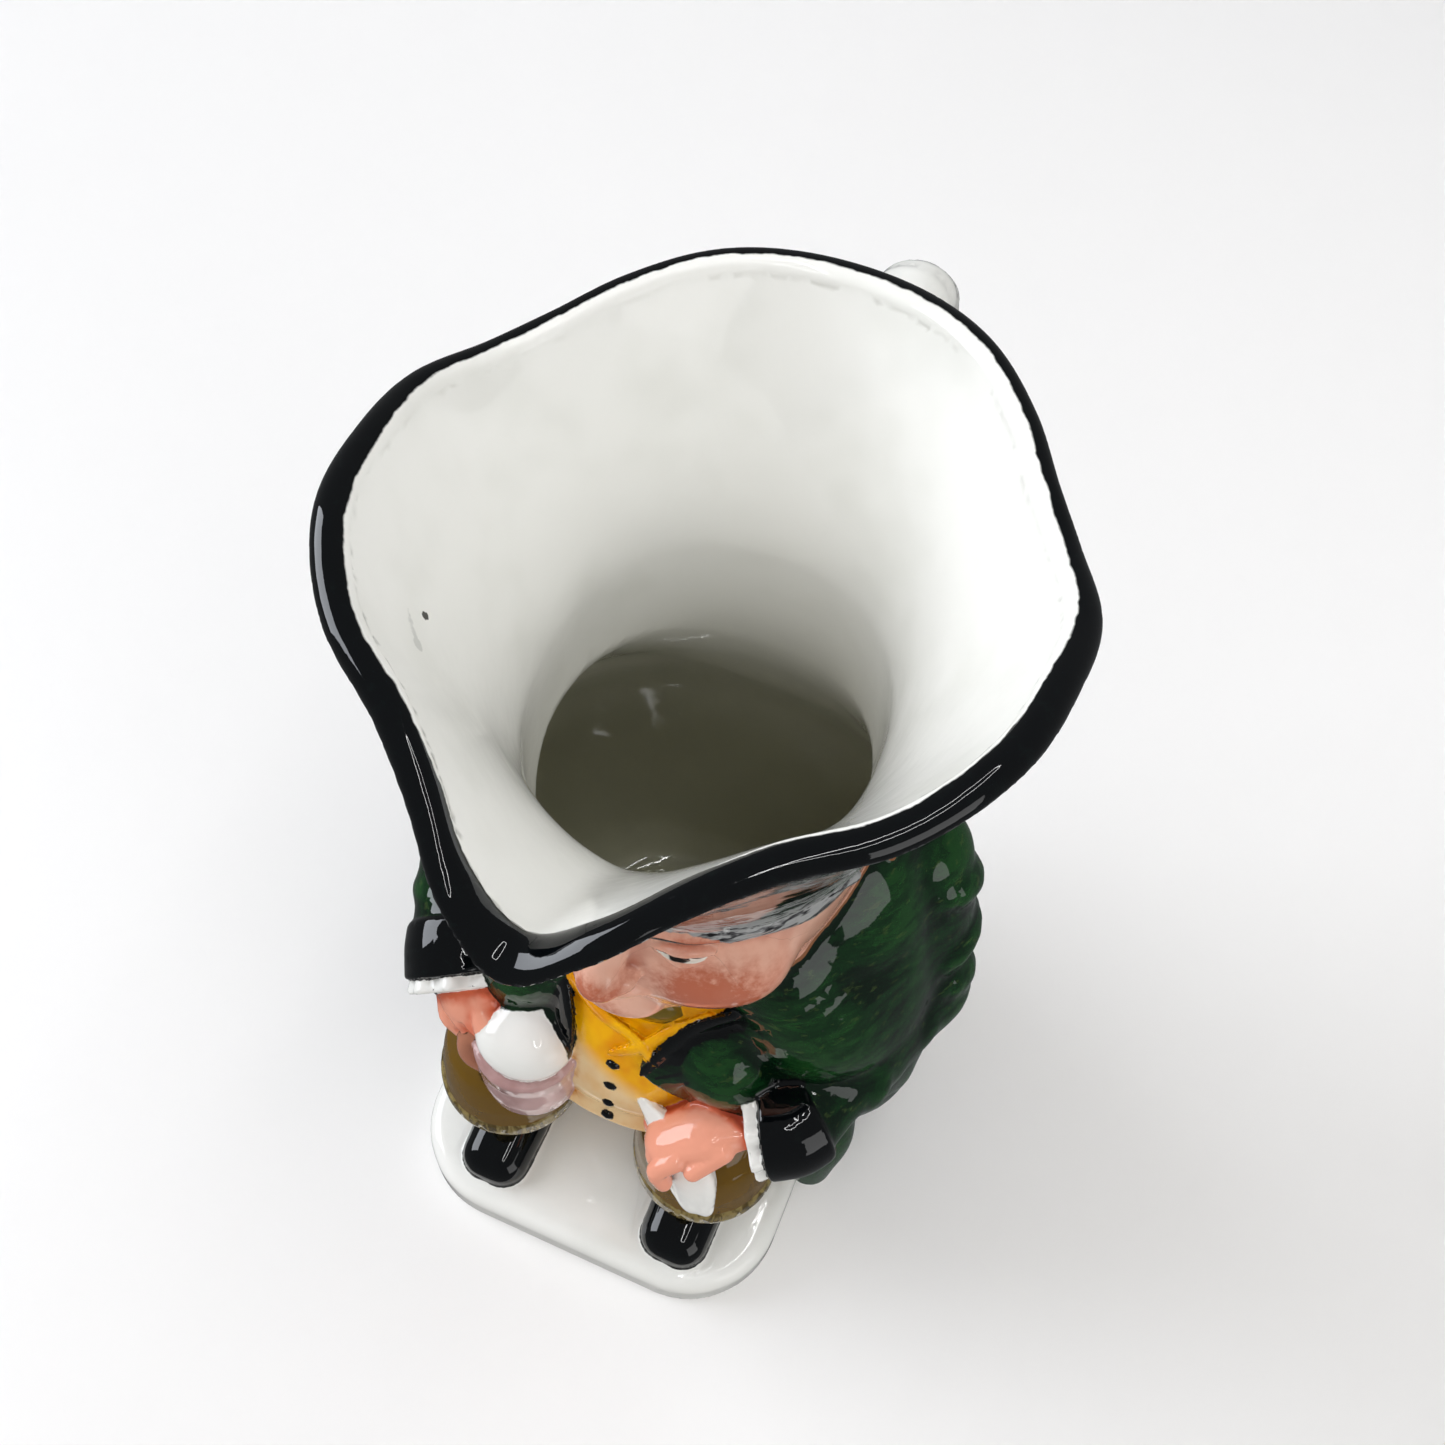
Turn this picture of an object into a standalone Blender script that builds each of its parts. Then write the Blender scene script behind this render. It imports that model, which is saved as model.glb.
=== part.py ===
# Character jug: a seated toper whose cocked hat is the mouth of the jug.
# One cast and glazed piece, hollow from the mouth down to the floor.
# Frame: the figure faces -Y, its left hand is towards +X, +Z is up, and the
# origin lies on the jug's axis, on its flat underside.

import math

import bpy
import bmesh
import numpy as np
from mathutils import Matrix, Vector

# Driving sizes, in metres
HEIGHT = 0.1535
WALL = 0.0036
FLOOR = 0.0100
BASE_WIDTH = 0.0660
BASE_FRONT = 0.0478
BASE_BACK = 0.0360
BASE_HEIGHT = 0.0080
BASE_CORNER = 0.0100
BASE_EDGE = 0.0022
HANDLE_WIDTH = 0.0112
HANDLE_THICKNESS = 0.0084
HANDLE_REACH = 0.0726

# The figure is drawn in millimetres at this height, and keeps its shares
DRAWN_HEIGHT = 153.5
UNIT = HEIGHT / DRAWN_HEIGHT
FLOOR_FILLET = 7.0
BELOW = 2.0

# Casting detail of the solid
AROUND = 144
VOXEL = 0.00085
TRIANGLES = 9600

# Rows of a profile: height, half width, reach to the front, to the back, power
COAT = (
    (-4.0, 32.5, 22.0, 33.0, 2.8),
    (8.0, 33.5, 23.5, 34.0, 2.8),
    (20.0, 38.2, 24.0, 36.0, 2.7),
    (32.0, 41.0, 24.5, 37.0, 2.6),
    (45.0, 42.2, 25.5, 37.5, 2.5),
    (57.0, 41.0, 26.0, 37.0, 2.4),
    (68.0, 39.4, 25.0, 35.5, 2.3),
    (78.0, 36.8, 22.5, 32.5, 2.2),
    (88.0, 33.6, 19.0, 28.0, 2.2),
    (96.0, 28.0, 13.0, 22.0, 2.1),
    (103.0, 17.0, 8.0, 14.0, 2.0),
)
BELLY = (
    (37.5, 14.0, 22.0, 10.0, 2.4),
    (39.5, 21.5, 31.0, 10.0, 2.4),
    (45.0, 23.5, 33.2, 10.0, 2.3),
    (55.0, 24.5, 32.2, 10.0, 2.2),
    (64.0, 24.0, 29.6, 10.0, 2.1),
    (72.0, 21.0, 25.0, 10.0, 2.0),
    (80.0, 15.0, 19.0, 10.0, 2.0),
)
HEAD = (
    (71.0, 9.0, 14.0, 22.0, 2.0),
    (77.0, 16.5, 25.2, 26.5, 2.0),
    (82.0, 20.6, 28.8, 28.0, 2.1),
    (90.0, 23.8, 30.2, 28.4, 2.2),
    (100.0, 25.4, 30.0, 28.0, 2.2),
    (112.0, 25.8, 29.4, 28.6, 2.2),
    (122.0, 25.8, 29.0, 29.0, 2.2),
)
# The lip of the hat: angle from the front, reach and height of its crest
RIM = (
    (0.0, 47.3, 142.1),
    (8.0, 45.4, 146.0),
    (17.0, 41.6, 148.4),
    (28.0, 39.4, 150.4),
    (45.0, 39.6, 152.1),
    (62.0, 38.8, 153.5),
    (80.0, 37.8, 152.2),
    (97.0, 38.0, 149.9),
    (112.0, 36.2, 148.4),
    (125.0, 35.7, 148.7),
    (140.0, 37.8, 149.1),
    (158.0, 41.4, 149.2),
    (180.0, 43.9, 148.1),
)
HAT_FOOT = 113.0
HAT_STEP = 1.6
HAT_FLARE = 1.35
LIP_ROLL = 0.62
TIP_BULGE = 0.72
TIP_SPREAD = 0.36
SIDE_BULGE = 0.22
SIDE_TURN = 1.15
SIDE_SPREAD = 0.35
BELLY_FILLET = 3.0
NECK_FILLET = 2.5
KNEE_ASIDE = 17.7
KNEE_SHIFT = -2.7
SHOE_ASIDE = 17.4
BASE_SHIFT = -2.2
CAVITY_MARGIN = 1.6


def drawn(metres):
    """A real length in the drawing's millimetres."""
    return metres / UNIT


def spline(where, stations, values):
    """Smooth curve through the stations, level at both ends."""
    stations = np.asarray(stations, float)
    values = np.asarray(values, float)
    slope = np.gradient(values, stations)
    slope[0] = 0.0
    slope[-1] = 0.0
    where = np.clip(where, stations[0], stations[-1])
    cell = np.clip(np.searchsorted(stations, where) - 1, 0, len(stations) - 2)
    step = stations[cell + 1] - stations[cell]
    t = (where - stations[cell]) / step
    start = (1 + 2 * t) * (1 - t) ** 2 * values[cell] + t * (1 - t) ** 2 * step * slope[cell]
    end = t * t * (3 - 2 * t) * values[cell + 1] - t * t * (1 - t) * step * slope[cell + 1]
    return start + end


def section_radius(angle, half_width, front, back, power):
    """Polar radius of a superellipse whose front and back reach differ."""
    reach = np.where(np.cos(angle) > 0, front, back)
    sideways = (np.abs(np.sin(angle)) / half_width) ** power
    lengthways = (np.abs(np.cos(angle)) / reach) ** power
    return (sideways + lengthways) ** (-1 / power)


def profile_radius(rows, angle, z):
    """Radius of a lofted profile at an angle and a height, 0 above and below it."""
    columns = np.array(rows).T
    sizes = [spline(z, columns[0], column) for column in columns[1:]]
    radius = section_radius(angle, *sizes)
    return np.where((z < columns[0][0]) | (z > columns[0][-1]), 0.0, radius)


def blend(one, other, soft):
    """The larger of two radii, with a fillet where they meet."""
    near = np.maximum(soft - np.abs(one - other), 0) / soft
    return np.maximum(one, other) + near * near * soft / 4


def rim_reach(angle):
    """Reach of the lip's crest at an angle from the front."""
    turn = np.degrees(np.abs((angle + math.pi) % (2 * math.pi) - math.pi))
    return spline(turn, [row[0] for row in RIM], [row[1] for row in RIM])


def rim_height(angle):
    """Height of the lip's crest at an angle from the front."""
    turn = np.degrees(np.abs((angle + math.pi) % (2 * math.pi) - math.pi))
    return spline(turn, [row[0] for row in RIM], [row[2] for row in RIM])


def lip_height(angle):
    """Height where the wall ends and the rounded lip begins."""
    return rim_height(angle) - drawn(WALL) / 2


def hat_radius(angle, z):
    """Outside of the flared hat, carried on straight above its lip."""
    head = profile_radius(HEAD, angle, np.full_like(z, HAT_FOOT)) + HAT_STEP
    span = (z - HAT_FOOT) / (lip_height(angle) - HAT_FOOT)
    inside = np.clip(span, 0, 1) ** HAT_FLARE
    rise = np.where(span > 1, 1 + HAT_FLARE * (span - 1), inside)
    turn = np.abs((angle + math.pi) % (2 * math.pi) - math.pi)
    roll = LIP_ROLL + TIP_BULGE * np.exp(-(turn / TIP_SPREAD) ** 2)
    roll = roll + SIDE_BULGE * np.exp(-((turn - SIDE_TURN) / SIDE_SPREAD) ** 2)
    lip = rim_reach(angle) + drawn(WALL) * roll
    return np.where(span < 0, 0.0, head + (lip - head) * rise)


def outer_radius(angle, z, soft=1.0):
    """Outside of the hollow body: coat, belly, head and hat in one."""
    torso = blend(profile_radius(COAT, angle, z), profile_radius(BELLY, angle, z), BELLY_FILLET)
    upper = blend(torso, profile_radius(HEAD, angle, z), NECK_FILLET)
    return blend(upper, hat_radius(angle, z), soft)


def inner_radius(angle, z):
    """Inside of the wall: the outside moved in by the wall, and a filleted floor."""
    wall = drawn(WALL)
    radius = np.full_like(z, 1000.0)
    for step in np.linspace(-wall, wall, 13):
        depth = math.sqrt(max(wall * wall - step * step, 0.0))
        radius = np.minimum(radius, outer_radius(angle, z + step, soft=0.1) - depth)
    above = np.clip((z - drawn(FLOOR)) / FLOOR_FILLET, 0, 1)
    return radius - FLOOR_FILLET * (1 - np.sqrt(1 - (1 - above) ** 2))


def ring_points(angle, radius, z):
    """Polar rows to points, the front at -Y."""
    return np.stack([radius * np.sin(angle), -radius * np.cos(angle), z], axis=-1)


def solid(rows, name):
    """Closed mesh lofted through rings of equal length, capped at both ends."""
    rows = np.asarray(rows, float)
    count, around = rows.shape[:2]
    mesh = bpy.data.meshes.new(name)
    faces = []
    for i in range(count - 1):
        for j in range(around):
            k = (j + 1) % around
            faces.append((i * around + j, i * around + k, (i + 1) * around + k, (i + 1) * around + j))
    faces.append(tuple(reversed(range(around))))
    faces.append(tuple(range((count - 1) * around, count * around)))
    mesh.from_pydata(rows.reshape(-1, 3).tolist(), [], faces)
    work = bmesh.new()
    work.from_mesh(mesh)
    bmesh.ops.triangulate(work, faces=[face for face in work.faces if len(face.verts) > 4])
    bmesh.ops.recalc_face_normals(work, faces=work.faces)
    work.to_mesh(mesh)
    work.free()
    return mesh


def vessel():
    """The hollow body: up the outside, over the lip and down the inside to the floor."""
    angle = np.linspace(0, 2 * math.pi, AROUND, endpoint=False)
    level = np.ones(AROUND)
    lip = lip_height(angle)
    rows = []
    for z in np.linspace(-BELOW, HAT_FOOT, 70):
        rows.append(ring_points(angle, outer_radius(angle, z * level), z * level))
    for share in np.linspace(0, 1, 20)[1:]:
        z = HAT_FOOT + (lip - HAT_FOOT) * share
        rows.append(ring_points(angle, outer_radius(angle, z), z))
    outside = outer_radius(angle, lip)
    inside = inner_radius(angle, lip)
    middle = (outside + inside) / 2
    half = (outside - inside) / 2
    for turn in np.linspace(0, math.pi, 9)[1:-1]:
        crest = lip + drawn(WALL) / 2 * math.sin(turn)
        rows.append(ring_points(angle, middle + half * math.cos(turn), crest))
    for share in np.linspace(1, 0, 20):
        z = HAT_FOOT + (lip - HAT_FOOT) * share
        rows.append(ring_points(angle, inner_radius(angle, z), z))
    for z in np.linspace(HAT_FOOT, drawn(FLOOR), 60)[1:]:
        rows.append(ring_points(angle, inner_radius(angle, z * level), z * level))
    return solid(rows, "vessel")


def keep_outside(mesh):
    """Pushes a fused form out of the cavity, into the thickness of the wall."""
    points = np.empty(len(mesh.vertices) * 3)
    mesh.vertices.foreach_get("co", points)
    points = points.reshape(-1, 3)
    angle = np.arctan2(points[:, 0], -points[:, 1])
    radius = np.hypot(points[:, 0], points[:, 1])
    z = np.clip(points[:, 2], drawn(FLOOR), lip_height(angle))
    least = inner_radius(angle, z) + CAVITY_MARGIN
    least = np.where(points[:, 2] < drawn(FLOOR) - 1.0, 0.0, least)
    radius = np.maximum(radius, least)
    points[:, 0] = radius * np.sin(angle)
    points[:, 1] = -radius * np.cos(angle)
    mesh.vertices.foreach_set("co", points.ravel())
    return mesh


def curve_through(points, count):
    """Evenly spread points on a smooth curve through a few places."""
    points = np.asarray(points, float)
    lengths = np.linalg.norm(np.diff(points, axis=0), axis=1)
    stations = np.concatenate([[0], np.cumsum(lengths)])
    where = np.linspace(0, stations[-1], count)
    slope = np.gradient(points, stations, axis=0)
    cell = np.clip(np.searchsorted(stations, where) - 1, 0, len(stations) - 2)
    step = (stations[cell + 1] - stations[cell])[:, None]
    t = ((where - stations[cell])[:, None]) / step
    start = (1 + 2 * t) * (1 - t) ** 2 * points[cell] + t * (1 - t) ** 2 * step * slope[cell]
    end = t * t * (3 - 2 * t) * points[cell + 1] - t * t * (1 - t) * step * slope[cell + 1]
    return start + end, where / stations[-1]


def tube(points, radii, name="tube", flat=1.0, side=(1.0, 0.0, 0.0), steps=16, around=20, ends=True):
    """Round or flattened limb along a curve, with domed ends."""
    path, share = curve_through(points, steps)
    radius = np.interp(share, np.linspace(0, 1, len(radii)), radii)
    along = np.gradient(path, axis=0)
    along /= np.linalg.norm(along, axis=1)[:, None]
    across = np.asarray(side, float) - along * (along @ np.asarray(side, float))[:, None]
    across /= np.linalg.norm(across, axis=1)[:, None]
    over = np.cross(along, across)
    if ends:
        dome = np.radians([75.0, 50.0, 25.0])
        first = path[0] - along[0] * (radius[0] * np.sin(dome))[:, None]
        last = path[-1] + along[-1] * (radius[-1] * np.sin(dome[::-1]))[:, None]
        path = np.concatenate([first, path, last])
        radius = np.concatenate([radius[0] * np.cos(dome), radius, radius[-1] * np.cos(dome[::-1])])
        across = np.concatenate([np.repeat(across[:1], 3, 0), across, np.repeat(across[-1:], 3, 0)])
        over = np.concatenate([np.repeat(over[:1], 3, 0), over, np.repeat(over[-1:], 3, 0)])
    angle = np.linspace(0, 2 * math.pi, around, endpoint=False)
    wide = across[:, None, :] * np.cos(angle)[None, :, None]
    thin = over[:, None, :] * np.sin(angle)[None, :, None] * flat
    rows = path[:, None, :] + (wide + thin) * radius[:, None, None]
    return solid(rows, name)


def ball(centre, radii):
    """Ellipsoid from Blender's sphere."""
    mesh = bpy.data.meshes.new("ball")
    work = bmesh.new()
    bmesh.ops.create_uvsphere(work, u_segments=24, v_segments=16, radius=1.0)
    place = Matrix.Translation(Vector(centre)) @ Matrix.Diagonal(Vector((*radii, 1.0)))
    bmesh.ops.transform(work, matrix=place, verts=work.verts)
    work.to_mesh(mesh)
    work.free()
    return mesh


def base_block():
    """Low plinth: a rectangle with cut, rounded corners and a softened top edge."""
    half = drawn(BASE_WIDTH) / 2
    front = drawn(BASE_FRONT)
    back = drawn(BASE_BACK)
    corner = drawn(BASE_CORNER)
    edge = drawn(BASE_EDGE)
    top = drawn(BASE_HEIGHT)
    outline = [(-half, back - corner / 2), (-half, -front + corner), (-half + corner, -front),
               (half - corner, -front), (half, -front + corner), (half, back - corner / 2),
               (half - corner / 2, back), (-half + corner / 2, back)]
    points = np.array(outline)
    for _ in range(4):
        ahead = np.roll(points, -1, axis=0)
        cut = np.stack([points * 0.8 + ahead * 0.2, points * 0.2 + ahead * 0.8], axis=1)
        points = cut.reshape(-1, 2)
    middle = np.array([0.0, (back - front) / 2])
    reach = points - middle
    length = np.linalg.norm(reach, axis=1)[:, None]
    centre = middle + np.array([BASE_SHIFT, 0.0])
    rows = []
    for inset, z in ((0.6, -BELOW), (0.0, 1.2), (0.0, top - edge)):
        rows.append(np.c_[centre + reach * (1 - inset / length), np.full(len(points), z)])
    for turn in np.radians([30.0, 60.0, 90.0]):
        inset = edge * (1 - math.cos(turn))
        z = top - edge * (1 - math.sin(turn))
        rows.append(np.c_[centre + reach * (1 - inset / length), np.full(len(points), z)])
    return solid(rows, "base")


def handle():
    """Plain strap handle, from the back of the hat out and down to the coat."""
    reach = drawn(HANDLE_REACH) - drawn(HANDLE_THICKNESS) / 2
    places = [(1.2, 32.0, 123.0), (2.0, 42.0, 130.0), (2.9, 53.0, 133.0), (3.4, reach - 5.0, 130.5),
              (3.4, reach, 119.0), (3.0, reach, 100.0), (2.2, reach - 5.0, 78.0), (1.2, 54.0, 57.0),
              (0.6, 43.5, 43.0), (0.0, 35.0, 34.0)]
    half = drawn(HANDLE_WIDTH) / 2
    swell = [1.25, 1.03, 1.0, 0.97, 0.95, 0.93, 0.93, 0.95, 1.0, 1.15]
    return tube(places, [half * value for value in swell], "handle",
                flat=drawn(HANDLE_THICKNESS) / drawn(HANDLE_WIDTH), steps=48, around=24)


def leg(side):
    """Thigh, breeches knee with its band, stocking and shoe of one leg."""
    x = KNEE_ASIDE * side + KNEE_SHIFT
    forms = [
        tube([(x * 1.1 + 3 * side, -11, 36), (x, -18, 37), (x, -27.6, 35.5)], [13.0, 12.9, 11.8], "thigh"),
        tube([(x, -27.6, 37), (x, -27.8, 31), (x * 1.01, -27.7, 27)], [11.8, 11.6, 11.4], "knee", ends=False),
        tube([(x * 1.01, -27.7, 28.6), (x * 1.01, -27.7, 24.4)], [12.1, 12.1], "band", steps=5, ends=False),
        tube([(x * 1.02, -25.4, 30), (x * 1.03, -25, 10)], [8.0, 6.6], "stocking"),
    ]
    rows = []
    for y, half, top in ((-16, 4.6, 15.5), (-20, 5.4, 16.0), (-26, 5.6, 16.5), (-32, 5.8, 15.8),
                         (-38, 6.0, 14.6), (-41.5, 5.5, 13.6), (-43.6, 4.2, 12.6), (-44.6, 2.2, 11.2)):
        turn = np.linspace(0, 2 * math.pi, 24, endpoint=False)
        lift = (top - 5.0) / 2
        wide = np.sign(np.cos(turn)) * np.abs(np.cos(turn)) ** 0.8 * half
        tall = np.sign(np.sin(turn)) * np.abs(np.sin(turn)) ** 0.8 * lift
        sway = side * (SHOE_ASIDE - (y + 43) * 0.02) + BASE_SHIFT
        rows.append(np.c_[sway + wide, np.full(24, float(y)), 5.0 + lift + tall])
    forms.append(solid(rows, "shoe"))
    return forms


def fist(wrist, knuckles, size, bend):
    """Back of a hand with four curled fingers and a thumb."""
    wrist = np.asarray(wrist, float)
    knuckles = np.asarray(knuckles, float)
    ahead = (knuckles - wrist) / np.linalg.norm(knuckles - wrist)
    down = np.asarray(bend, float)
    across = np.cross(ahead, down)
    across /= np.linalg.norm(across)
    forms = [tube([wrist, (wrist + knuckles) / 2 - down * 0.6, knuckles], [size * 0.85, size * 1.05, size * 0.9],
                  "palm", flat=0.62, side=across)]
    for finger in range(4):
        shift = across * size * (finger - 1.5) * 0.5
        start = knuckles + shift
        middle = start + ahead * size * 0.55 + down * size * 0.25
        tip = start + ahead * size * 0.35 + down * size * 1.0
        forms.append(tube([start, middle, tip], [size * 0.32, size * 0.31, size * 0.27], "finger", around=12))
    start = wrist + ahead * size * 0.5 + across * size * 0.8
    forms.append(tube([start, start + ahead * size * 0.9 + across * size * 0.25 + down * size * 0.3],
                      [size * 0.34, size * 0.28], "thumb", around=12, steps=6))
    return forms


def arm(shoulder, elbow, wrist, hand, size):
    """Sleeve, forearm, turned-back cuff of this radius and frill."""
    shoulder, elbow, wrist, hand = (np.asarray(place, float) for place in (shoulder, elbow, wrist, hand))
    ahead = (wrist - elbow) / np.linalg.norm(wrist - elbow)
    turn = (hand - wrist) / np.linalg.norm(hand - wrist)
    return [
        tube([shoulder, (shoulder + elbow) / 2, elbow], [8.5, 9.2, 9.4, 8.8, 9.6], "sleeve", steps=24),
        tube([elbow, (elbow + wrist) / 2, wrist], [9.4, 8.4, 8.6, size - 0.6, size - 0.8], "forearm", steps=24),
        tube([wrist - ahead * 3.0, wrist + turn * 4.0], [size - 0.3, size + 0.2], "cuff", steps=6, ends=False),
        tube([wrist + turn * 3.0, wrist + turn * 6.0], [size - 1.4, size - 0.8], "frill", steps=5, ends=False),
    ]


def mug():
    """Small beer mug standing on the right knee, with its head of foam."""
    centre = np.array([-14.0, -31.2])
    turn = np.linspace(0, 2 * math.pi, 28, endpoint=False)
    rows = []
    for radius, z in ((7.4, 40.5), (8.0, 42.0), (8.1, 46.5), (7.9, 51.5), (8.2, 54.8), (7.8, 55.6)):
        rows.append(np.c_[centre[0] + radius * np.cos(turn), centre[1] + radius * np.sin(turn), np.full(28, z)])
    return [
        solid(rows, "mug"),
        ball((-13.8, -31.2, 57.2), (7.5, 7.5, 6.2)),
        tube([(-19.6, -31.6, 55.0), (-22.6, -34.4, 53.5), (-22.6, -35.4, 48.5), (-19.2, -34.4, 45.0)],
             [1.7, 1.7, 1.7, 1.7], "mug handle"),
    ]


def napkin():
    """Folded cloth under the left hand: a point above it and a round end on the knee."""
    return [
        tube([(5.0, -32.0, 52.6), (9.5, -33.8, 50.0), (13.5, -35.4, 47.5), (16.0, -37.4, 44.0), (16.8, -38.4, 40.5)],
             [1.2, 2.8, 4.2, 4.6, 4.0], "napkin", flat=0.5, side=(1.0, -0.3, 0.0), steps=24),
    ]


def face():
    """Calm, even features in ordinary proportions on the front of the head."""
    forms = [
        ball((0, -30.0, 98.5), (3.2, 4.2, 3.0)),
        tube([(0, -28.8, 107.0), (0, -31.0, 101.5), (0, -32.2, 98.4)], [1.7, 2.0, 2.5], "nose"),
        ball((0, -27.0, 80.6), (6.4, 3.8, 3.4)),
        tube([(-4.8, -30.0, 91.8), (0, -31.0, 91.5), (4.8, -30.0, 91.8)], [0.7, 1.2, 0.7], "upper lip"),
        tube([(-4.2, -29.7, 89.8), (0, -30.6, 89.0), (4.2, -29.7, 89.8)], [0.7, 1.3, 0.7], "lower lip"),
    ]
    for side in (-1, 1):
        forms += [
            ball((3.0 * side, -30.4, 97.9), (1.8, 2.0, 1.6)),
            ball((11.6 * side, -20.4, 94.0), (9.6, 7.6, 9.0)),
            ball((8.6 * side, -27.4, 104.2), (3.1, 2.0, 2.1)),
            tube([(3.4 * side, -28.6, 107.8), (8.8 * side, -28.0, 109.2), (14.4 * side, -24.6, 107.6)],
                 [1.0, 1.3, 0.9], "brow"),
            ball((25.4 * side, 1.0, 98.5), (2.4, 3.6, 5.4)),
        ]
    return forms


def hair():
    """Curls that leave the hat at the temples and gather in a roll at the nape."""
    forms = []
    for side in (-1, 1):
        fringe = [(3.0 * side, -29.6, 110.5), (13.0 * side, -26.6, 109.5), (21.5 * side, -18.0, 107.0),
                  (25.6 * side, -7.5, 102.0)]
        forms.append(tube(fringe, [1.0, 2.2, 2.6, 2.0], "fringe", flat=0.7, side=(0.0, 0.0, 1.0), steps=20))
        for step in range(3):
            turn = math.radians(104 + 26 * step)
            place = (25.4 * math.sin(turn) * side, -28.0 * math.cos(turn), 0.0)
            forms.append(tube([(place[0], place[1], 112), (place[0] * 1.04, place[1] * 1.04, 102),
                               (place[0], place[1], 92)], [3.6, 4.2, 3.6], "lock"))
    return forms


def collar():
    """Turned-down coat collar around the neck and the two pointed lapels."""
    turn = np.radians(np.linspace(48, 312, 15))
    ring = [(26.3 * math.sin(angle), -26.5 * math.cos(angle) + 1.2, 88.5 - 4.5 * math.cos(angle)) for angle in turn]
    forms = [tube(ring, [1.2, 2.6, 3.6, 3.9, 3.6, 2.6, 1.2], "collar", flat=0.75, side=(0.0, 0.0, 1.0), steps=40)]
    for side in (-1, 1):
        forms.append(tube([(20.0 * side, -16.5, 82.0), (13.5 * side, -23.8, 76.0), (6.0 * side, -28.6, 67.0)],
                          [3.0, 3.6, 1.6], "lapel", flat=0.45, side=(1.0, 0.0, 0.6)))
    return forms


def buttons():
    """Four small buttons down the waistcoat."""
    forms = []
    for z in (43.0, 48.0, 53.6, 59.4):
        y = -float(outer_radius(np.zeros(1), np.array([z]))[0])
        forms.append(ball((0.0, y, z), (1.1, 0.8, 1.1)))
    return forms


def coat_edges():
    """Front edges and skirts of the coat, which stand proud of waistcoat and legs."""
    forms = []
    for side in (-1, 1):
        edge = []
        for z, x in ((66.0, 6.5), (58.0, 10.0), (50.0, 14.0), (43.0, 19.0)):
            turn = np.array([math.atan2(x, 30.0)])
            reach = float(outer_radius(turn, np.array([z]))[0]) - 0.4
            edge.append((reach * math.sin(turn[0]) * side, -reach * math.cos(turn[0]), z))
        forms.append(tube(edge, [1.6, 1.7, 1.8, 1.8], "front edge"))
        skirt = [(30.5 * side, -17.5, 44.0), (32.5 * side, -18.5, 30.0), (32.0 * side, -18.8, 18.0),
                 (31.8 * side, -18.6, 10.0)]
        forms.append(tube(skirt, [4.2, 4.6, 4.4, 4.0], "skirt"))
        for step in range(4):
            turn = math.radians(82 + 26 * step)
            crest = []
            for z in (52.0, 36.0, 22.0, 9.5):
                reach = float(outer_radius(np.array([turn]), np.array([z]))[0]) - 1.6
                crest.append((reach * math.sin(turn) * side, -reach * math.cos(turn), z))
            forms.append(tube(crest, [1.2, 2.4, 3.0, 3.2], "pleat", steps=20))
    return forms


def cast(forms, name):
    """Fuses closed forms into one skin, softened like slip and glaze."""
    work = bmesh.new()
    for mesh in forms:
        work.from_mesh(mesh)
        bpy.data.meshes.remove(mesh)
    bmesh.ops.scale(work, vec=(UNIT, UNIT, UNIT), verts=work.verts)
    mesh = bpy.data.meshes.new(name)
    work.to_mesh(mesh)
    work.free()
    thing = bpy.data.objects.new(name, mesh)
    bpy.context.scene.collection.objects.link(thing)
    fuse = thing.modifiers.new("fuse", "REMESH")
    fuse.mode = "VOXEL"
    fuse.voxel_size = VOXEL
    soften = thing.modifiers.new("soften", "SMOOTH")
    soften.factor = 0.5
    soften.iterations = 2
    return thing


def apply_modifiers(thing):
    """Turns the evaluated shape into the object's own mesh."""
    shape = thing.evaluated_get(bpy.context.evaluated_depsgraph_get())
    mesh = bpy.data.meshes.new_from_object(shape)
    thing.modifiers.clear()
    thing.data = mesh


def facet(thing, triangles):
    """Thins the skin to about this many triangles, fewest where it is flat."""
    thin = thing.modifiers.new("thin", "DECIMATE")
    thin.ratio = triangles / (2 * len(thing.data.polygons))
    apply_modifiers(thing)


def grind_flat(thing):
    """Grinds the underside to a plane at height 0."""
    size = HEIGHT
    mesh = bpy.data.meshes.new("grinder")
    work = bmesh.new()
    bmesh.ops.create_cube(work, size=1.0)
    place = Matrix.Translation((0, 0, -size / 2)) @ Matrix.Diagonal((3 * size, 3 * size, size, 1.0))
    bmesh.ops.transform(work, matrix=place, verts=work.verts)
    work.to_mesh(mesh)
    work.free()
    cutter = bpy.data.objects.new("grinder", mesh)
    bpy.context.scene.collection.objects.link(cutter)
    cut = thing.modifiers.new("grind", "BOOLEAN")
    cut.operation = "DIFFERENCE"
    cut.solver = "EXACT"
    cut.object = cutter
    apply_modifiers(thing)
    bpy.data.objects.remove(cutter)


def glaze():
    """Glossy glazed earthenware, plain white under the painting."""
    material = bpy.data.materials.new("glazed earthenware")
    material.use_nodes = True
    surface = material.node_tree.nodes["Principled BSDF"]
    surface.inputs["Base Color"].default_value = (0.80, 0.80, 0.75, 1.0)
    surface.inputs["Roughness"].default_value = 0.12
    surface.inputs["Metallic"].default_value = 0.0
    return material


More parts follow.
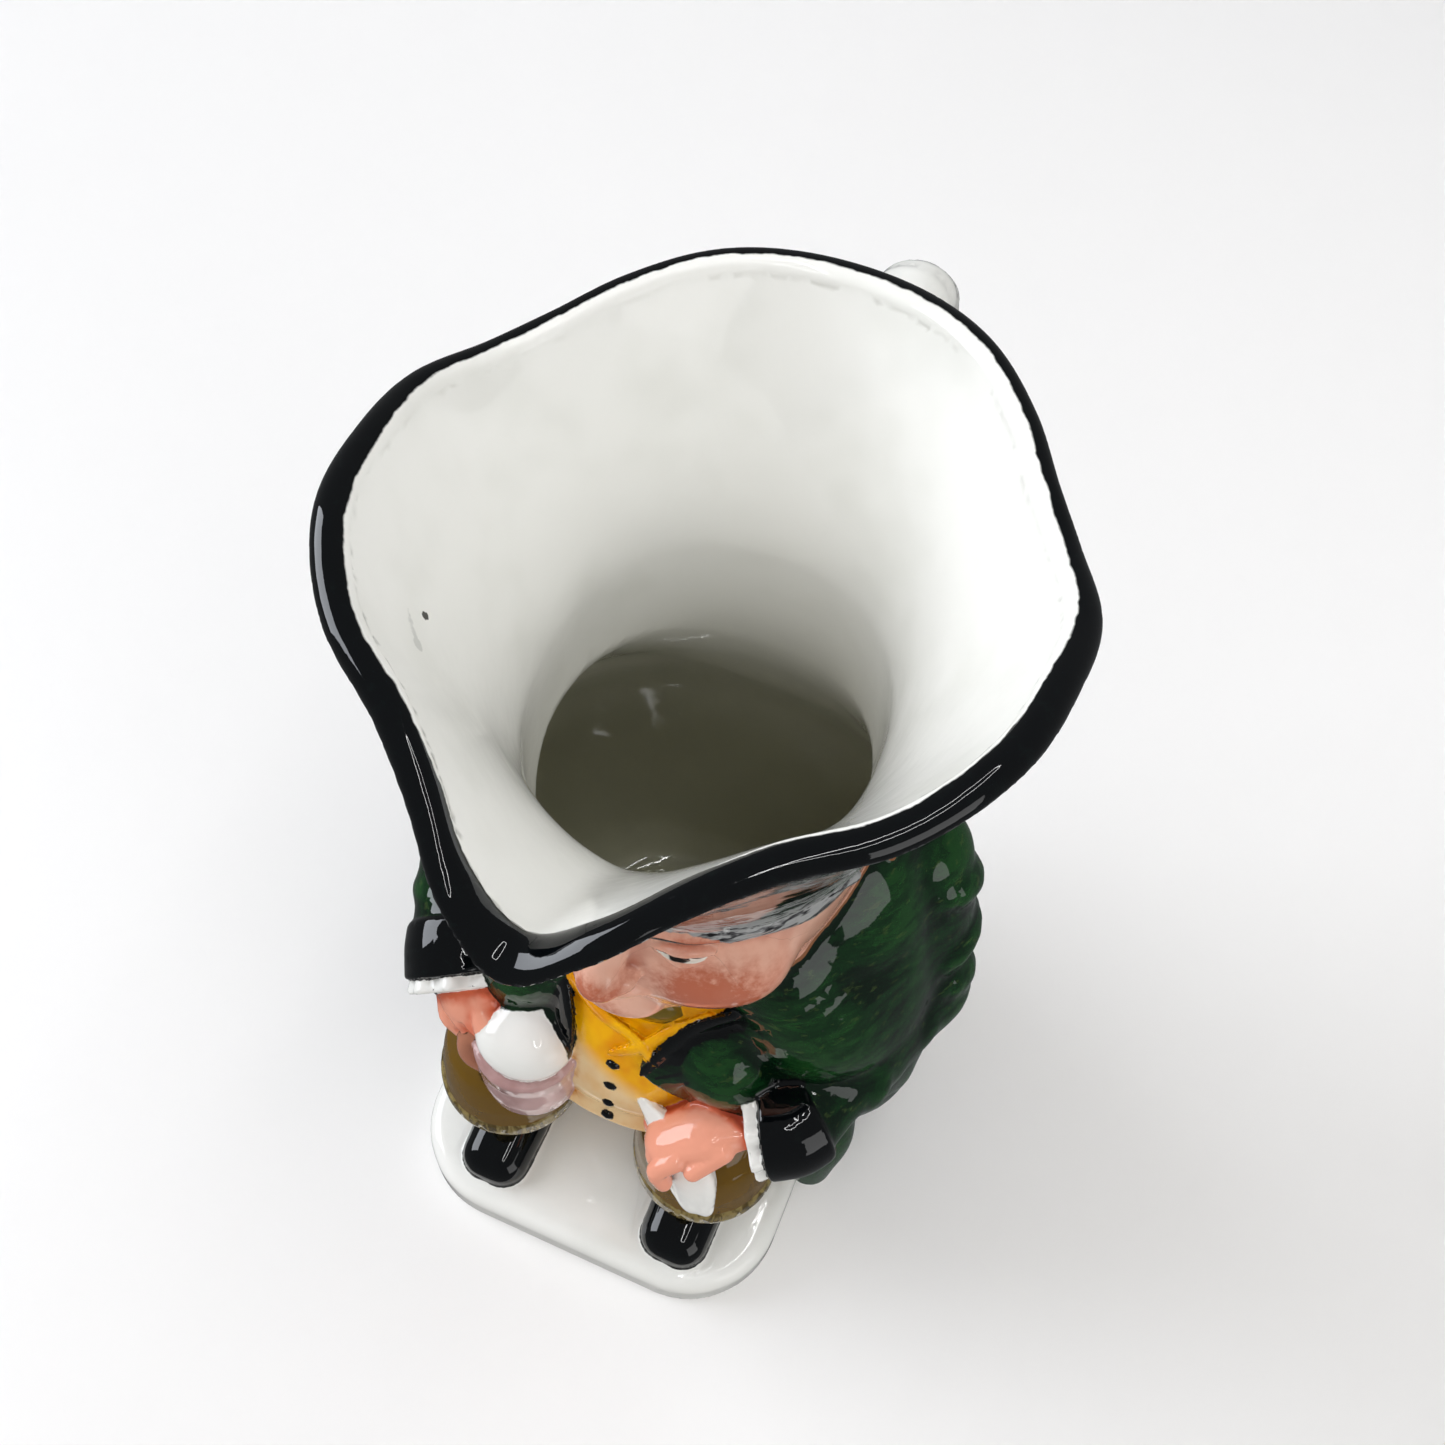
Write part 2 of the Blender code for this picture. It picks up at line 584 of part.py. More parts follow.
def jug():
    """The whole cast piece."""
    left = ((30.0, 7.0, 84.0), (35.4, 1.5, 56.5), (27.5, -27.5, 55.5), (12.5, -35.0, 51.5), 7.6)
    right = ((-30.5, 5.0, 84.0), (-34.6, -5.0, 63.0), (-28.4, -24.1, 60.5), (-23.0, -33.0, 56.0), 8.6)
    fused = [base_block(), handle()]
    for side in (-1, 1):
        fused += leg(side)
    fused += arm(*left) + arm(*right)
    fused += fist((20.0, -30.1, 53.8), (12.0, -35.1, 51.3), 5.2, (0.1, -0.25, -0.95))
    fused += fist((-27.6, -26.9, 61.0), (-24.8, -32.4, 57.2), 4.5, (0.55, -0.3, -0.75))
    fused += mug() + napkin() + face() + hair() + collar() + buttons() + coat_edges()
    forms = [vessel()] + [keep_outside(mesh) for mesh in fused]
    thing = cast(forms, "jug")
    apply_modifiers(thing)
    facet(thing, TRIANGLES)
    grind_flat(thing)
    thing.data.materials.clear()
    thing.data.materials.append(glaze())
    thing.data.shade_smooth()
    thing.data.set_sharp_from_angle(angle=math.radians(40))
    return thing


for old in list(bpy.data.objects):
    bpy.data.objects.remove(old)
jug()
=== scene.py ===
# %% [markdown]
# # A character jug in glazed earthenware
# The real jug is poured as liquid clay into a plaster mould, so the seated toper, its base, its mug
# and the hat that is the mouth are one skin. It is fired, painted by hand with enamel colours, glazed
# and fired again. The lesson rebuilds that order: first the skin, then the painting, then the glaze.
# Everything is worked out in millimetres and becomes metres at the very end.

# %% Load the measured model
import math

import bpy
import numpy as np
from mathutils import Matrix, Vector


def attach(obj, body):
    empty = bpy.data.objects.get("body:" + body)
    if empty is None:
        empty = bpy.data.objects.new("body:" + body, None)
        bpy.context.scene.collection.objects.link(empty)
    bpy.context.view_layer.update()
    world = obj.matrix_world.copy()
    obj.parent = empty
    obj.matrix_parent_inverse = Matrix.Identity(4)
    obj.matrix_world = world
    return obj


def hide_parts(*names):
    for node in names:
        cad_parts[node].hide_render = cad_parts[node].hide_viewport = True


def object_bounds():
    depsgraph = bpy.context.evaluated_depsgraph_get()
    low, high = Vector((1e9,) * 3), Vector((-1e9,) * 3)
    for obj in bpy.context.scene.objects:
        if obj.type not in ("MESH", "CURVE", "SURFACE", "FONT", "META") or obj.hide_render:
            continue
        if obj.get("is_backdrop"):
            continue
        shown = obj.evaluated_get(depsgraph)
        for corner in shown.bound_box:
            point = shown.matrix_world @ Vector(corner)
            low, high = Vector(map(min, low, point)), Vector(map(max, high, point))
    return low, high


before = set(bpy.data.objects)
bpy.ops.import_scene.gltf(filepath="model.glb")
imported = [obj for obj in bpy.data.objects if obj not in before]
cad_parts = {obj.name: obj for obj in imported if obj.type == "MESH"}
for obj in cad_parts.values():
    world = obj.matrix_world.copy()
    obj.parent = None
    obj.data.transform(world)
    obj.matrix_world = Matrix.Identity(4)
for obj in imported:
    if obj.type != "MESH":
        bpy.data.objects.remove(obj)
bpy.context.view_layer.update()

# %% [markdown]
# ## How the skin is described
# Clay that has been cast has no sharp joins: where an arm meets the coat, slip and glaze fill the
# corner with a small fillet. Meshes that merely pass through each other miss that. So each form is
# written as a distance rule, which says how far any point is from its surface, less than zero inside.
# The rules are melted together with a smooth minimum, and the points of one mesh are then pulled onto
# the surface where the melted distance is zero. The same distances later say which colour a point gets.

# %% Sizes of the casting, in millimetres
MM = 0.001
WALL = 3.6
FLOOR = 10.0
FLOOR_FILLET = 7.0
BASE_HALF = 33.0
BASE_SHIFT = -2.2
BASE_FRONT = 47.8
BASE_BACK = 36.0
BASE_TOP = 8.0
BASE_CORNER = 9.5
HANDLE_HALF = 5.6
HANDLE_THIN = 4.2
HANDLE_REACH = 67.4
HAT_FOOT = 113.0
HAT_STEP = 1.6
HAT_FLARE = 1.35
VOXEL = 0.56
TRIANGLES = 196000
FACE_RADIUS = 29
MM_PER_DEGREE = 0.52  # along the coat's front, 30 mm from the axis
NECK = 60  # no part of the head or of the mouth lies lower
UNDER_BRIM = 14  # the hair is brushed up this far under the brim at the temples

# %% [markdown]
# ## Profiles of the body
# Coat, belly and head are lofts: at each height the section is a superellipse with its own half width
# and its own reach to the front and to the back. A table with a handful of heights and a smooth curve
# through them is how a mould maker's templates work, and it keeps every section fair.

# %% Tables of sections: height, half width, front, back, squareness
COAT = np.array([(-4, 32.5, 22, 33, 2.8), (8, 33.5, 23.5, 34, 2.8), (20, 38.2, 24, 36, 2.7), (32, 41, 24.5, 37, 2.6),
                 (45, 42.2, 25.5, 37.5, 2.5), (57, 41, 26, 37, 2.4), (68, 39.4, 25, 35.5, 2.3),
                 (78, 36.8, 22.5, 32.5, 2.2), (88, 33.6, 19, 28, 2.2), (96, 28, 13, 22, 2.1), (103, 17, 8, 14, 2)])
BELLY = np.array([(37.5, 14, 22, 10, 2.4), (39.5, 21.5, 31, 10, 2.4), (45, 23.5, 33.2, 10, 2.3),
                  (55, 24.5, 32.2, 10, 2.2), (64, 24, 29.6, 10, 2.1), (72, 21, 25, 10, 2), (80, 15, 19, 10, 2)])
HEAD = np.array([(71, 9, 14, 22, 2), (77, 16.5, 25.2, 26.5, 2), (82, 20.6, 28.8, 28, 2.1),
                 (90, 23.8, 30.2, 28.4, 2.2), (100, 25.4, 30, 28, 2.2), (112, 25.8, 29.4, 28.6, 2.2),
                 (122, 25.8, 29, 29, 2.2)])
# The lip of the hat: degrees from the front, reach and height of its crest
RIM = np.array([(0, 47.3, 142.1), (8, 45.4, 146), (17, 41.6, 148.4), (28, 39.4, 150.4), (45, 39.6, 152.1),
                (62, 38.8, 153.5), (80, 37.8, 152.2), (97, 38, 149.9), (112, 36.2, 148.4), (125, 35.7, 148.7),
                (140, 37.8, 149.1), (158, 41.4, 149.2), (180, 43.9, 148.1)])


def spline(where, stations, values):
    """Smooth curve through the stations: cubic pieces whose slopes are the differences, level at the ends."""
    slope = np.gradient(values, stations)
    slope[[0, -1]] = 0.0
    where = np.clip(where, stations[0], stations[-1])
    cell = np.clip(np.searchsorted(stations, where) - 1, 0, len(stations) - 2)
    step = stations[cell + 1] - stations[cell]
    t = (where - stations[cell]) / step
    start = (1 + 2 * t) * (1 - t) ** 2 * values[cell] + t * (1 - t) ** 2 * step * slope[cell]
    return start + t * t * (3 - 2 * t) * values[cell + 1] - t * t * (1 - t) * step * slope[cell + 1]


def profile(rows, angle, z):
    """Radius at an angle from the front and a height: (|sin/width|^n + |cos/reach|^n)^(-1/n), 0 off its ends."""
    half, front, back, power = (spline(z, rows[:, 0], column) for column in rows.T[1:])
    reach = np.where(np.cos(angle) > 0, front, back)
    radius = ((np.abs(np.sin(angle)) / half) ** power + (np.abs(np.cos(angle)) / reach) ** power) ** (-1 / power)
    return np.where((z < rows[0, 0]) | (z > rows[-1, 0]), 0.0, radius)


def join(one, other, soft):
    """The larger of two radii plus (soft - gap)^2 / 4 soft where they are nearly equal: a fillet."""
    near = np.maximum(soft - np.abs(one - other), 0) / soft
    return np.maximum(one, other) + near * near * soft / 4


def turned(angle):
    """Angle from the front brought to -pi..pi."""
    return (angle + math.pi) % (2 * math.pi) - math.pi


def lip_height(angle):
    """Height where the wall ends and the rounded lip begins."""
    return spline(np.degrees(np.abs(turned(angle))), RIM[:, 0], RIM[:, 2]) - WALL / 2


def hat_radius(angle, z, step=HAT_STEP, flare=HAT_FLARE):
    """Outside of the hat: from the head's radius to the lip's, growing as the height's share to a power."""
    head = profile(HEAD, angle, np.full_like(z, HAT_FOOT)) + step
    span = (z - HAT_FOOT) / (lip_height(angle) - HAT_FOOT)
    rise = np.where(span > 1, 1 + flare * (span - 1), np.clip(span, 0, 1) ** flare)
    turn = np.abs(turned(angle))
    roll = 0.62 + 0.72 * np.exp(-(turn / 0.36) ** 2) + 0.22 * np.exp(-((turn - 1.15) / 0.35) ** 2)
    lip = spline(np.degrees(np.abs(turned(angle))), RIM[:, 0], RIM[:, 1]) + WALL * roll
    return head + (lip - head) * rise


# Edges of the coat's front: height, degrees to the figure's right and to its left
OPENING = np.array([(36, 44, 50), (44, 35, 41), (50, 23, 31), (54, 15, 22.5), (57, 12.5, 15.5), (61, 12, 8.5),
                    (66, 16, 13), (71, 25, 30), (79, 36, 42)], float)


def in_opening(angle, z):
    """Millimetres inside the coat's open front: the smaller angle to its two edges, times the radius there."""
    degrees = np.degrees(turned(angle))
    right = spline(z, OPENING[:, 0], OPENING[:, 1])
    left = spline(z, OPENING[:, 0], OPENING[:, 2])
    return np.minimum(left - degrees, degrees + right) * MM_PER_DEGREE


def coat_step(angle, z):
    """How far the coat stands proud of the waistcoat: 1.1 mm, with a rounded edge and faded out above and below."""
    beside = np.clip(-in_opening(angle, z) / 1.3, 0, 1)
    within = np.clip((z - 37) / 4, 0, 1) * np.clip((82 - z) / 4, 0, 1)
    within = within * np.clip((1.6 - np.abs(turned(angle))) / 0.5, 0, 1)
    return 1.1 * np.sqrt(beside * (2 - beside)) * within


def bump(angle, z, at, height, wide, tall, amount):
    """A soft swelling or hollow: amount * exp(-(sideways/wide)^2 - (upright/tall)^2), on both sides of the face."""
    sideways = (np.abs(turned(angle)) - math.radians(at)) * FACE_RADIUS / wide
    return amount * np.exp(-sideways ** 2 - ((z - height) / tall) ** 2)


def outer_radius(angle, z, carved=True):
    """Outside of the hollow body. Carving and the hat's step are left out where the inside of the wall is wanted."""
    head = profile(HEAD, angle, z)
    if carved:
        calm = (bump(angle, z, 17, 103.5, 4.2, 3.0, -1.7) + bump(angle, z, 21, 92.5, 6.5, 6.0, 1.2)
                + bump(angle, z, 0, 87.0, 6.0, 1.8, -0.9) + bump(angle, z, 34, 106, 6, 6, -0.7)
                + bump(angle, z, 11, 94.0, 1.6, 4.5, -0.5))
        head = np.where(head > 0, head + calm, 0.0)
    torso = join(profile(COAT, angle, z), profile(BELLY, angle, z), 3.0)
    if carved:
        torso = torso + coat_step(angle, z)
        return join(join(torso, head, 2.0), np.where(z < HAT_FOOT, 0.0, hat_radius(angle, z)), 1.0)
    return np.maximum(join(torso, head, 6.0), np.where(z < HAT_FOOT, 0.0, hat_radius(angle, z, 0.0, 1.5)))


def inner_radius(angle, z):
    """Inside of the wall: the outside moved in by the wall at right angles, and a filleted floor."""
    radius = np.full_like(z, 1000.0)
    for step in np.linspace(-WALL, WALL, 19):
        depth = math.sqrt(max(WALL * WALL - step * step, 0.0))
        radius = np.minimum(radius, outer_radius(angle, z + step, carved=False) - depth)
    above = np.clip((z - FLOOR) / FLOOR_FILLET, 0, 1)
    return radius - FLOOR_FILLET * (1 - np.sqrt(1 - (1 - above) ** 2))


print("lip runs from", RIM[:, 2].min(), "to", RIM[:, 2].max(), "mm high")

# %% [markdown]
# ## Limbs and balls
# Arms, fingers, lapels, folds and the strap handle are all limbs: a round or flattened section
# carried along a smooth curve. Eyes and foam are balls. Each form keeps its place, its size, its
# paint and how softly it melts into its neighbours.

# %% Form makers
FORMS = []


def full_turn(count):
    """Angles spread evenly once round, the last one short of the first."""
    return np.linspace(0, 2 * math.pi, count, endpoint=False)


def unit(rows):
    """Rows of vectors scaled to length one."""
    return rows / np.linalg.norm(rows, axis=-1, keepdims=True)


def curve_through(places, count):
    """Evenly spread points on cubic pieces through a few places."""
    places = np.asarray(places, float)
    stations = np.concatenate([[0], np.cumsum(np.linalg.norm(np.diff(places, axis=0), axis=1))])
    where = np.linspace(0, stations[-1], count)
    slope = np.gradient(places, stations, axis=0)
    cell = np.clip(np.searchsorted(stations, where) - 1, 0, len(stations) - 2)
    step = (stations[cell + 1] - stations[cell])[:, None]
    t = (where - stations[cell])[:, None] / step
    start = (1 + 2 * t) * (1 - t) ** 2 * places[cell] + t * (1 - t) ** 2 * step * slope[cell]
    path = start + t * t * (3 - 2 * t) * places[cell + 1] - t * t * (1 - t) * step * slope[cell + 1]
    return path, where / stations[-1]


def limb(paint, places, radii, flat=1.0, side=(1.0, 0.0, 0.0), steps=14, melt=0.9, blunt=False, ripple=(0, 0.0)):
    """Adds a section of these radii along a curve; ripple is a count of waves round it and their depth."""
    path, share = curve_through(places, steps)
    radius = np.interp(share, np.linspace(0, 1, len(radii)), radii)
    along = unit(np.gradient(path, axis=0))
    side = np.asarray(side, float)
    across = unit(side - along * (along @ side)[:, None])
    reach = radius.max() * (1 + ripple[1])
    FORMS.append({"paint": paint, "path": path, "radius": radius, "along": along, "across": across,
                  "over": np.cross(along, across), "flat": flat, "melt": melt, "blunt": blunt, "ripple": ripple,
                  "low": path.min(0) - reach, "high": path.max(0) + reach})


def ball(paint, centre, radii, melt=0.9):
    """Adds an ellipsoid."""
    centre = np.asarray(centre, float)
    radii = np.asarray(radii, float)
    FORMS.append({"paint": paint, "centre": centre, "radii": radii, "melt": melt, "low": centre - radii,
                  "high": centre + radii})


def limb_distance(form, points):
    """Distance to a limb: the nearest place on its path gives sideways u and v, and sqrt(u^2 + (v/flat)^2) is set
    against the radius there. A blunt limb is also cut off square past its ends."""
    path = form["path"]
    leg = np.diff(path, axis=0)
    length = np.linalg.norm(leg, axis=1)
    reach = points[:, None, :] - path[None, :-1, :]
    share = np.clip((reach * leg).sum(-1) / length ** 2, 0, 1)
    offset = reach - share[..., None] * leg
    u = (offset * form["across"][:-1]).sum(-1)
    v = (offset * form["over"][:-1]).sum(-1) / form["flat"]
    w = (offset * form["along"][:-1]).sum(-1)
    size = form["radius"][:-1] + share * np.diff(form["radius"])
    count, depth = form["ripple"]
    if count:
        size = size * (1 + depth * np.sin(count * np.arctan2(v, u)))
    end = 0.0 if form["blunt"] else w
    stretched = np.sqrt(u * u + v * v + end * end) + 1e-9
    steep = np.sqrt(u * u + (v / form["flat"]) ** 2 + end * end) / stretched + 1e-9
    distance = (stretched - size) / steep
    best = np.argmin(distance + (np.abs(w) if form["blunt"] else 0.0), axis=1)[:, None]
    near = np.take_along_axis(distance, best, 1)[:, 0]
    if form["blunt"]:
        start = np.concatenate([[0], np.cumsum(length)])
        run = np.take_along_axis(start[:-1] + share * length + w, best, 1)[:, 0]
        near = -melted(-near, -np.maximum(-run, run - start[-1]), 0.8)
    return near


def ball_distance(form, points):
    """Distance to an ellipsoid: k0 (k0 - 1) / k1 with k0 = |p/r| and k1 = |p/r^2|."""
    offset = points - form["centre"]
    k0 = np.linalg.norm(offset / form["radii"], axis=1)
    k1 = np.linalg.norm(offset / form["radii"] ** 2, axis=1) + 1e-9
    return k0 * (k0 - 1) / k1


def melted(one, other, soft):
    """Smooth minimum: min(a, b) - (soft - |a - b|)^2 / 4 soft where they are closer than soft."""
    near = np.maximum(soft - np.abs(one - other), 0) / soft
    return np.minimum(one, other) - near * near * soft / 4


print("form makers ready")

# %% [markdown]
# ## Legs, base and handle
# The toper sits on a plain white plinth with cut corners. Its breeches end at the knee in a
# turned band, and black shoes come out below. The handle is a plain white strap.

# %% Legs and handle
limb("white", [(1.2, 32, 123), (2.0, 42, 130), (2.9, 53, 133), (3.4, HANDLE_REACH - 4, 130.5),
               (3.4, HANDLE_REACH + 1, 119), (3.0, HANDLE_REACH + 1, 100), (2.2, HANDLE_REACH - 4, 78),
               (1.2, 54, 57), (0.6, 43.5, 43), (0, 35, 34)],
     [HANDLE_HALF * share for share in (1.25, 1.03, 1, 0.97, 0.95, 0.93, 0.93, 0.95, 1, 1.15)],
     flat=HANDLE_THIN / HANDLE_HALF, steps=44, melt=3.0)
for side in (-1, 1):
    x = 17.7 * side - 2.7
    limb("breeches", [(x * 1.1 + 3 * side, -11, 36), (x * 1.03, -18, 37), (x, -26.8, 34.5)], [13.0, 12.7, 11.0],
         melt=1.5)
    limb("breeches", [(x, -27.4, 38), (x, -27.6, 32), (x, -27.7, 27)], [9.6, 11.3, 12.0], blunt=True, melt=1.8)
    limb("band", [(x * 1.01, -27.7, 28.4), (x * 1.01, -27.7, 24.4)], [12.1, 12.3], steps=4, blunt=True, melt=0.4)
    limb("white", [(x * 1.02, -25.4, 30), (x * 1.03, -25, 10)], [8, 6.6], melt=2.0)
    for beside in (-1.5, 1.5):
        middle = side * 17.2 + BASE_SHIFT + beside
        limb("black", [(middle, -16, 10.0), (middle, -26, 10.4), (middle, -34, 9.8), (middle, -39.6, 9.0)],
             [4.0, 4.5, 4.8, 4.5], melt=1.2 if beside > 0 else 0.7)
print("legs and handle:", len(FORMS), "forms")

# %% [markdown]
# ## Arms, cuffs and hands
# Each sleeve is a fat limb with folds that wrap it at the elbow, then a black turned-back cuff, a
# frilled shirt cuff and a hand with curled fingers. Folds are thinner limbs laid round the sleeve,
# half sunk in it, which is also how a modeller adds them to the clay.


# %% Arms
def fist(wrist, knuckles, size, bend):
    """Back of a hand, four fingers that curl over by bend, and a thumb."""
    wrist = np.asarray(wrist, float)
    knuckles = np.asarray(knuckles, float)
    ahead = unit(knuckles - wrist)
    down = np.asarray(bend, float)
    across = unit(np.cross(ahead, down))
    limb("hand", [wrist, (wrist + knuckles) / 2 - down * 0.6, knuckles], [size * 0.85, size * 1.05, size * 0.9],
         flat=0.62, side=across)
    for finger in range(4):
        start = knuckles + across * size * (finger - 1.5) * 0.52
        bent, tip = (start + ahead * size * out + down * size * fall for out, fall in ((0.55, 0.25), (0.35, 1.0)))
        limb("hand", [start, bent, tip], [size * 0.31, size * 0.31, size * 0.27], steps=7, melt=0.35)
    start = wrist + ahead * size * 0.5 + across * size * 0.8
    limb("hand", [start, start + ahead * size * 0.9 + across * size * 0.25 + down * size * 0.3],
         [size * 0.34, size * 0.28], steps=5, melt=0.4)


def fold(centre, along, radius, turns, slant, thick):
    """A ridge wrapped part of the way round a sleeve, moving along it by slant as it goes."""
    along = unit(np.asarray(along, float))
    across = unit(np.cross(along, (0.0, 0.0, 1.0)))
    up = np.cross(across, along)
    turn = np.radians(np.linspace(turns[0], turns[1], 6))
    run = np.linspace(-0.5, 0.5, 6)[:, None]
    outward = np.cos(turn)[:, None] * across + np.sin(turn)[:, None] * up
    places = np.asarray(centre, float) + radius * outward + run * slant * along
    limb("coat", places, [thick * 0.3, thick, thick * 1.1, thick * 0.8, thick * 0.25], steps=12, melt=1.6)


def arm(shoulder, elbow, wrist, hand, size):
    """Sleeve, forearm, cuff of this radius and frill, from four places."""
    shoulder, elbow, wrist, hand = (np.asarray(place, float) for place in (shoulder, elbow, wrist, hand))
    ahead = unit(wrist - elbow)
    turn = unit(hand - wrist)
    limb("coat", [shoulder, (shoulder + elbow) / 2, elbow], [8.5, 9.2, 9.4, 8.8, 9.6], steps=18, melt=2.0)
    limb("coat", [elbow, (elbow + wrist) / 2, wrist], [9.4, 8.4, 8.6, size - 0.6, size - 0.8], steps=16, melt=2.0)
    middle = unit(ahead + turn)
    limb("black", [wrist - middle * 3.4, wrist, wrist + turn * 3.8], [size - 0.4, size, size + 0.3], steps=12,
         blunt=True, melt=1.0)
    limb("white", [wrist + turn * 2.6, wrist + turn * 6.2], [size - 1.4, size - 0.2], steps=5, blunt=True, melt=0.3,
         ripple=(9, 0.07))


LEFT_ARM = ((30, 7, 84), (35.4, 1.5, 56.5), (27.5, -27.5, 55.5), (12.5, -35, 51.5))
RIGHT_ARM = ((-30.5, 5, 84), (-34.6, -5, 63), (-28.4, -24.1, 60.5), (-23, -33, 56))
limb("coat", [(14, -14, 86), (20.5, -15.5, 77), (25.5, -15.5, 69), (28, -12, 62)], [5.5, 7.6, 8.4, 8.4], melt=4.5)
limb("coat", [(13, -23.6, 66), (15.4, -25.6, 62), (18.6, -24.6, 58)], [4.4, 5.4, 5.2], melt=5.0)
limb("coat", [(-13, -14, 84), (-18, -17, 75), (-22.5, -19, 68)], [5.5, 7.2, 7.0], melt=4.5)
limb("coat", [(-13, -22.8, 70.5), (-16.5, -24.5, 66), (-20.5, -24.5, 61)], [4.6, 5.6, 5.2], melt=3.0)
arm(*LEFT_ARM, 7.6)
arm(*RIGHT_ARM, 8.6)
fist((20.0, -30.1, 53.8), (12.0, -35.1, 51.3), 5.2, (0.1, -0.25, -0.95))
fist((-27.6, -25.2, 63.4), (-24.8, -30.8, 60.0), 4.6, (0.55, -0.3, -0.75))
for side, places in ((1, LEFT_ARM), (-1, RIGHT_ARM)):
    shoulder, elbow, wrist = (np.asarray(place, float) for place in places[:3])
    for share, lean, thick in ((0.12, 5, 2.6), (0.5, -6, 3.0), (0.86, 6, 2.8)):
        fold(shoulder + (elbow - shoulder) * share, elbow - shoulder, 7.4, (80, 210) if side > 0 else (-30, 100),
             lean, thick)
    for share, lean, thick in ((0.2, 7, 1.8), (0.6, 6, 1.5)):
        fold(elbow + (wrist - elbow) * share, wrist - elbow, 7.0, (110, 215) if side > 0 else (-35, 60), lean, thick)
print("arms:", len(FORMS), "forms so far")

# %% [markdown]
# ## Mug and napkin
# The right hand holds a mug of beer on the knee, with a heap of foam. The left hand presses a
# white napkin on the other knee: a point shows above the hand and a round end below it.

# %% Mug and napkin
limb("mug", [(-14, -31.4, 40.5), (-14, -31.4, 47), (-14, -31.4, 55.2)], [7.6, 8.1, 7.9, 8.3], steps=8, blunt=True,
     melt=0.4)
ball("white", (-13.8, -31.0, 57.0), (7.3, 7.3, 5.4), melt=0.3)
ball("white", (-16.6, -33.0, 58.6), (3.8, 3.6, 2.8), melt=3.0)
ball("white", (-11.0, -32.6, 59.0), (3.6, 3.4, 2.8), melt=3.0)
ball("white", (-14.2, -28.6, 60.2), (4.0, 3.6, 2.6), melt=3.0)
limb("brown", [(-19.6, -30.6, 57.0), (-22.2, -33.8, 54.8), (-22.2, -35.4, 49), (-19, -35, 45)], [1.4, 1.6, 1.6, 1.4],
     melt=0.5)
limb("white", [(5.0, -32, 52.6), (9.5, -33.8, 50), (13.5, -35.6, 47.5), (16, -37.6, 44), (17, -38.8, 40)],
     [1.0, 2.8, 4.2, 4.8, 4.2], flat=0.55, side=(1.0, -0.3, 0.0), steps=20, melt=0.3, ripple=(5, 0.05))
print("with mug and napkin:", len(FORMS), "forms")

# %% [markdown]
# ## Face and hair
# The face is a plain, calm one on the proportions that drawing books teach: the eyes on the middle
# line of the head, the nose's foot half way from there to the chin, the mouth a third below the nose.

# %% Face and hair
limb("flesh", [(0, -28.6, 107.5), (0, -31.2, 101.5), (0, -33.0, 97.6)], [1.6, 2.0, 2.6], melt=2.2)
ball("flesh", (0, -32.4, 97.4), (3.0, 3.4, 2.7), melt=1.4)
ball("flesh", (0, -28.0, 81.6), (5.8, 3.2, 3.4), melt=2.5)
limb("flesh", [(-4.8, -30.0, 91.2), (-1.4, -31.4, 91.9), (0, -31.3, 91.4), (1.4, -31.4, 91.9), (4.8, -30, 91.2)],
     [0.5, 1.1, 1.1, 1.1, 0.5], melt=0.7)
limb("flesh", [(-4.2, -29.9, 89.9), (0, -31.0, 89.2), (4.2, -29.9, 89.9)], [0.5, 1.3, 0.5], melt=0.7)
for side in (-1, 1):
    ball("flesh", (2.7 * side, -31.4, 97.0), (1.7, 2.2, 1.6), melt=1.0)
    ball("flesh", (12.0 * side, -22.0, 95.0), (8.4, 6.6, 8.0), melt=4.0)
    ball("flesh", (8.8 * side, -26.6, 103.6), (3.0, 2.2, 2.2), melt=0.5)
    limb("flesh", [(5.6 * side, -28.6, 103.8), (8.8 * side, -28.8, 105.5), (12.2 * side, -26.8, 104.2)],
         [0.5, 0.9, 0.5], melt=0.7)
    limb("flesh", [(5.8 * side, -28.5, 102.8), (8.8 * side, -28.6, 101.4), (12.0 * side, -26.9, 102.6)],
         [0.4, 0.7, 0.4], melt=0.8)
    limb("flesh", [(3.6 * side, -28.6, 108.4), (9 * side, -27.8, 109.4), (14.4 * side, -24.4, 107.8)],
         [0.8, 1.3, 0.7], melt=2.4)
    ball("flesh", (25.6 * side, 1.2, 98.5), (2.2, 3.4, 5.2), melt=1.2)
    limb("flesh", [(27.2 * side, -1.4, 95.4), (28.0 * side, 0.6, 101.8), (27.6 * side, 4.4, 100.6),
                   (26.8 * side, 3.6, 96)], [0.8, 1.0, 1.0, 0.6], melt=0.7)
    for step in range(3):
        low = 110.4 - 1.5 * step
        lock = [((6 + 4 * step) * side, -28.6 + 1.2 * step, low + 1.5),
                ((15 + 3 * step) * side, -24.6 + 3.4 * step, low - 0.8), (24.6 * side, -12.0 + 3.6 * step, low - 3.0)]
        limb("hair", lock, [0.8, 1.8, 1.0], flat=0.7, side=(0, 0, 1), melt=0.7, ripple=(6, 0.06))
    for step in range(4):
        turn = math.radians(108 + 21 * step)
        x, y = 25.4 * math.sin(turn) * side, -28.0 * math.cos(turn)
        curl = [(x, y, 113), (x * 1.05, y * 1.05, 104), (x * 0.99, y * 0.99, 96), (x * 1.06, y * 1.06, 89)]
        limb("hair", curl, [3.2, 3.8, 3.4, 3.0], steps=16, melt=1.0, ripple=(7, 0.07))
print("with the head:", len(FORMS), "forms")

# %% [markdown]
# ## Coat, lapels and buttons
# The frock coat has a turned-down collar, two pointed black lapels, front edges that stand proud of
# the waistcoat, and skirts that fall in pleats behind the legs.


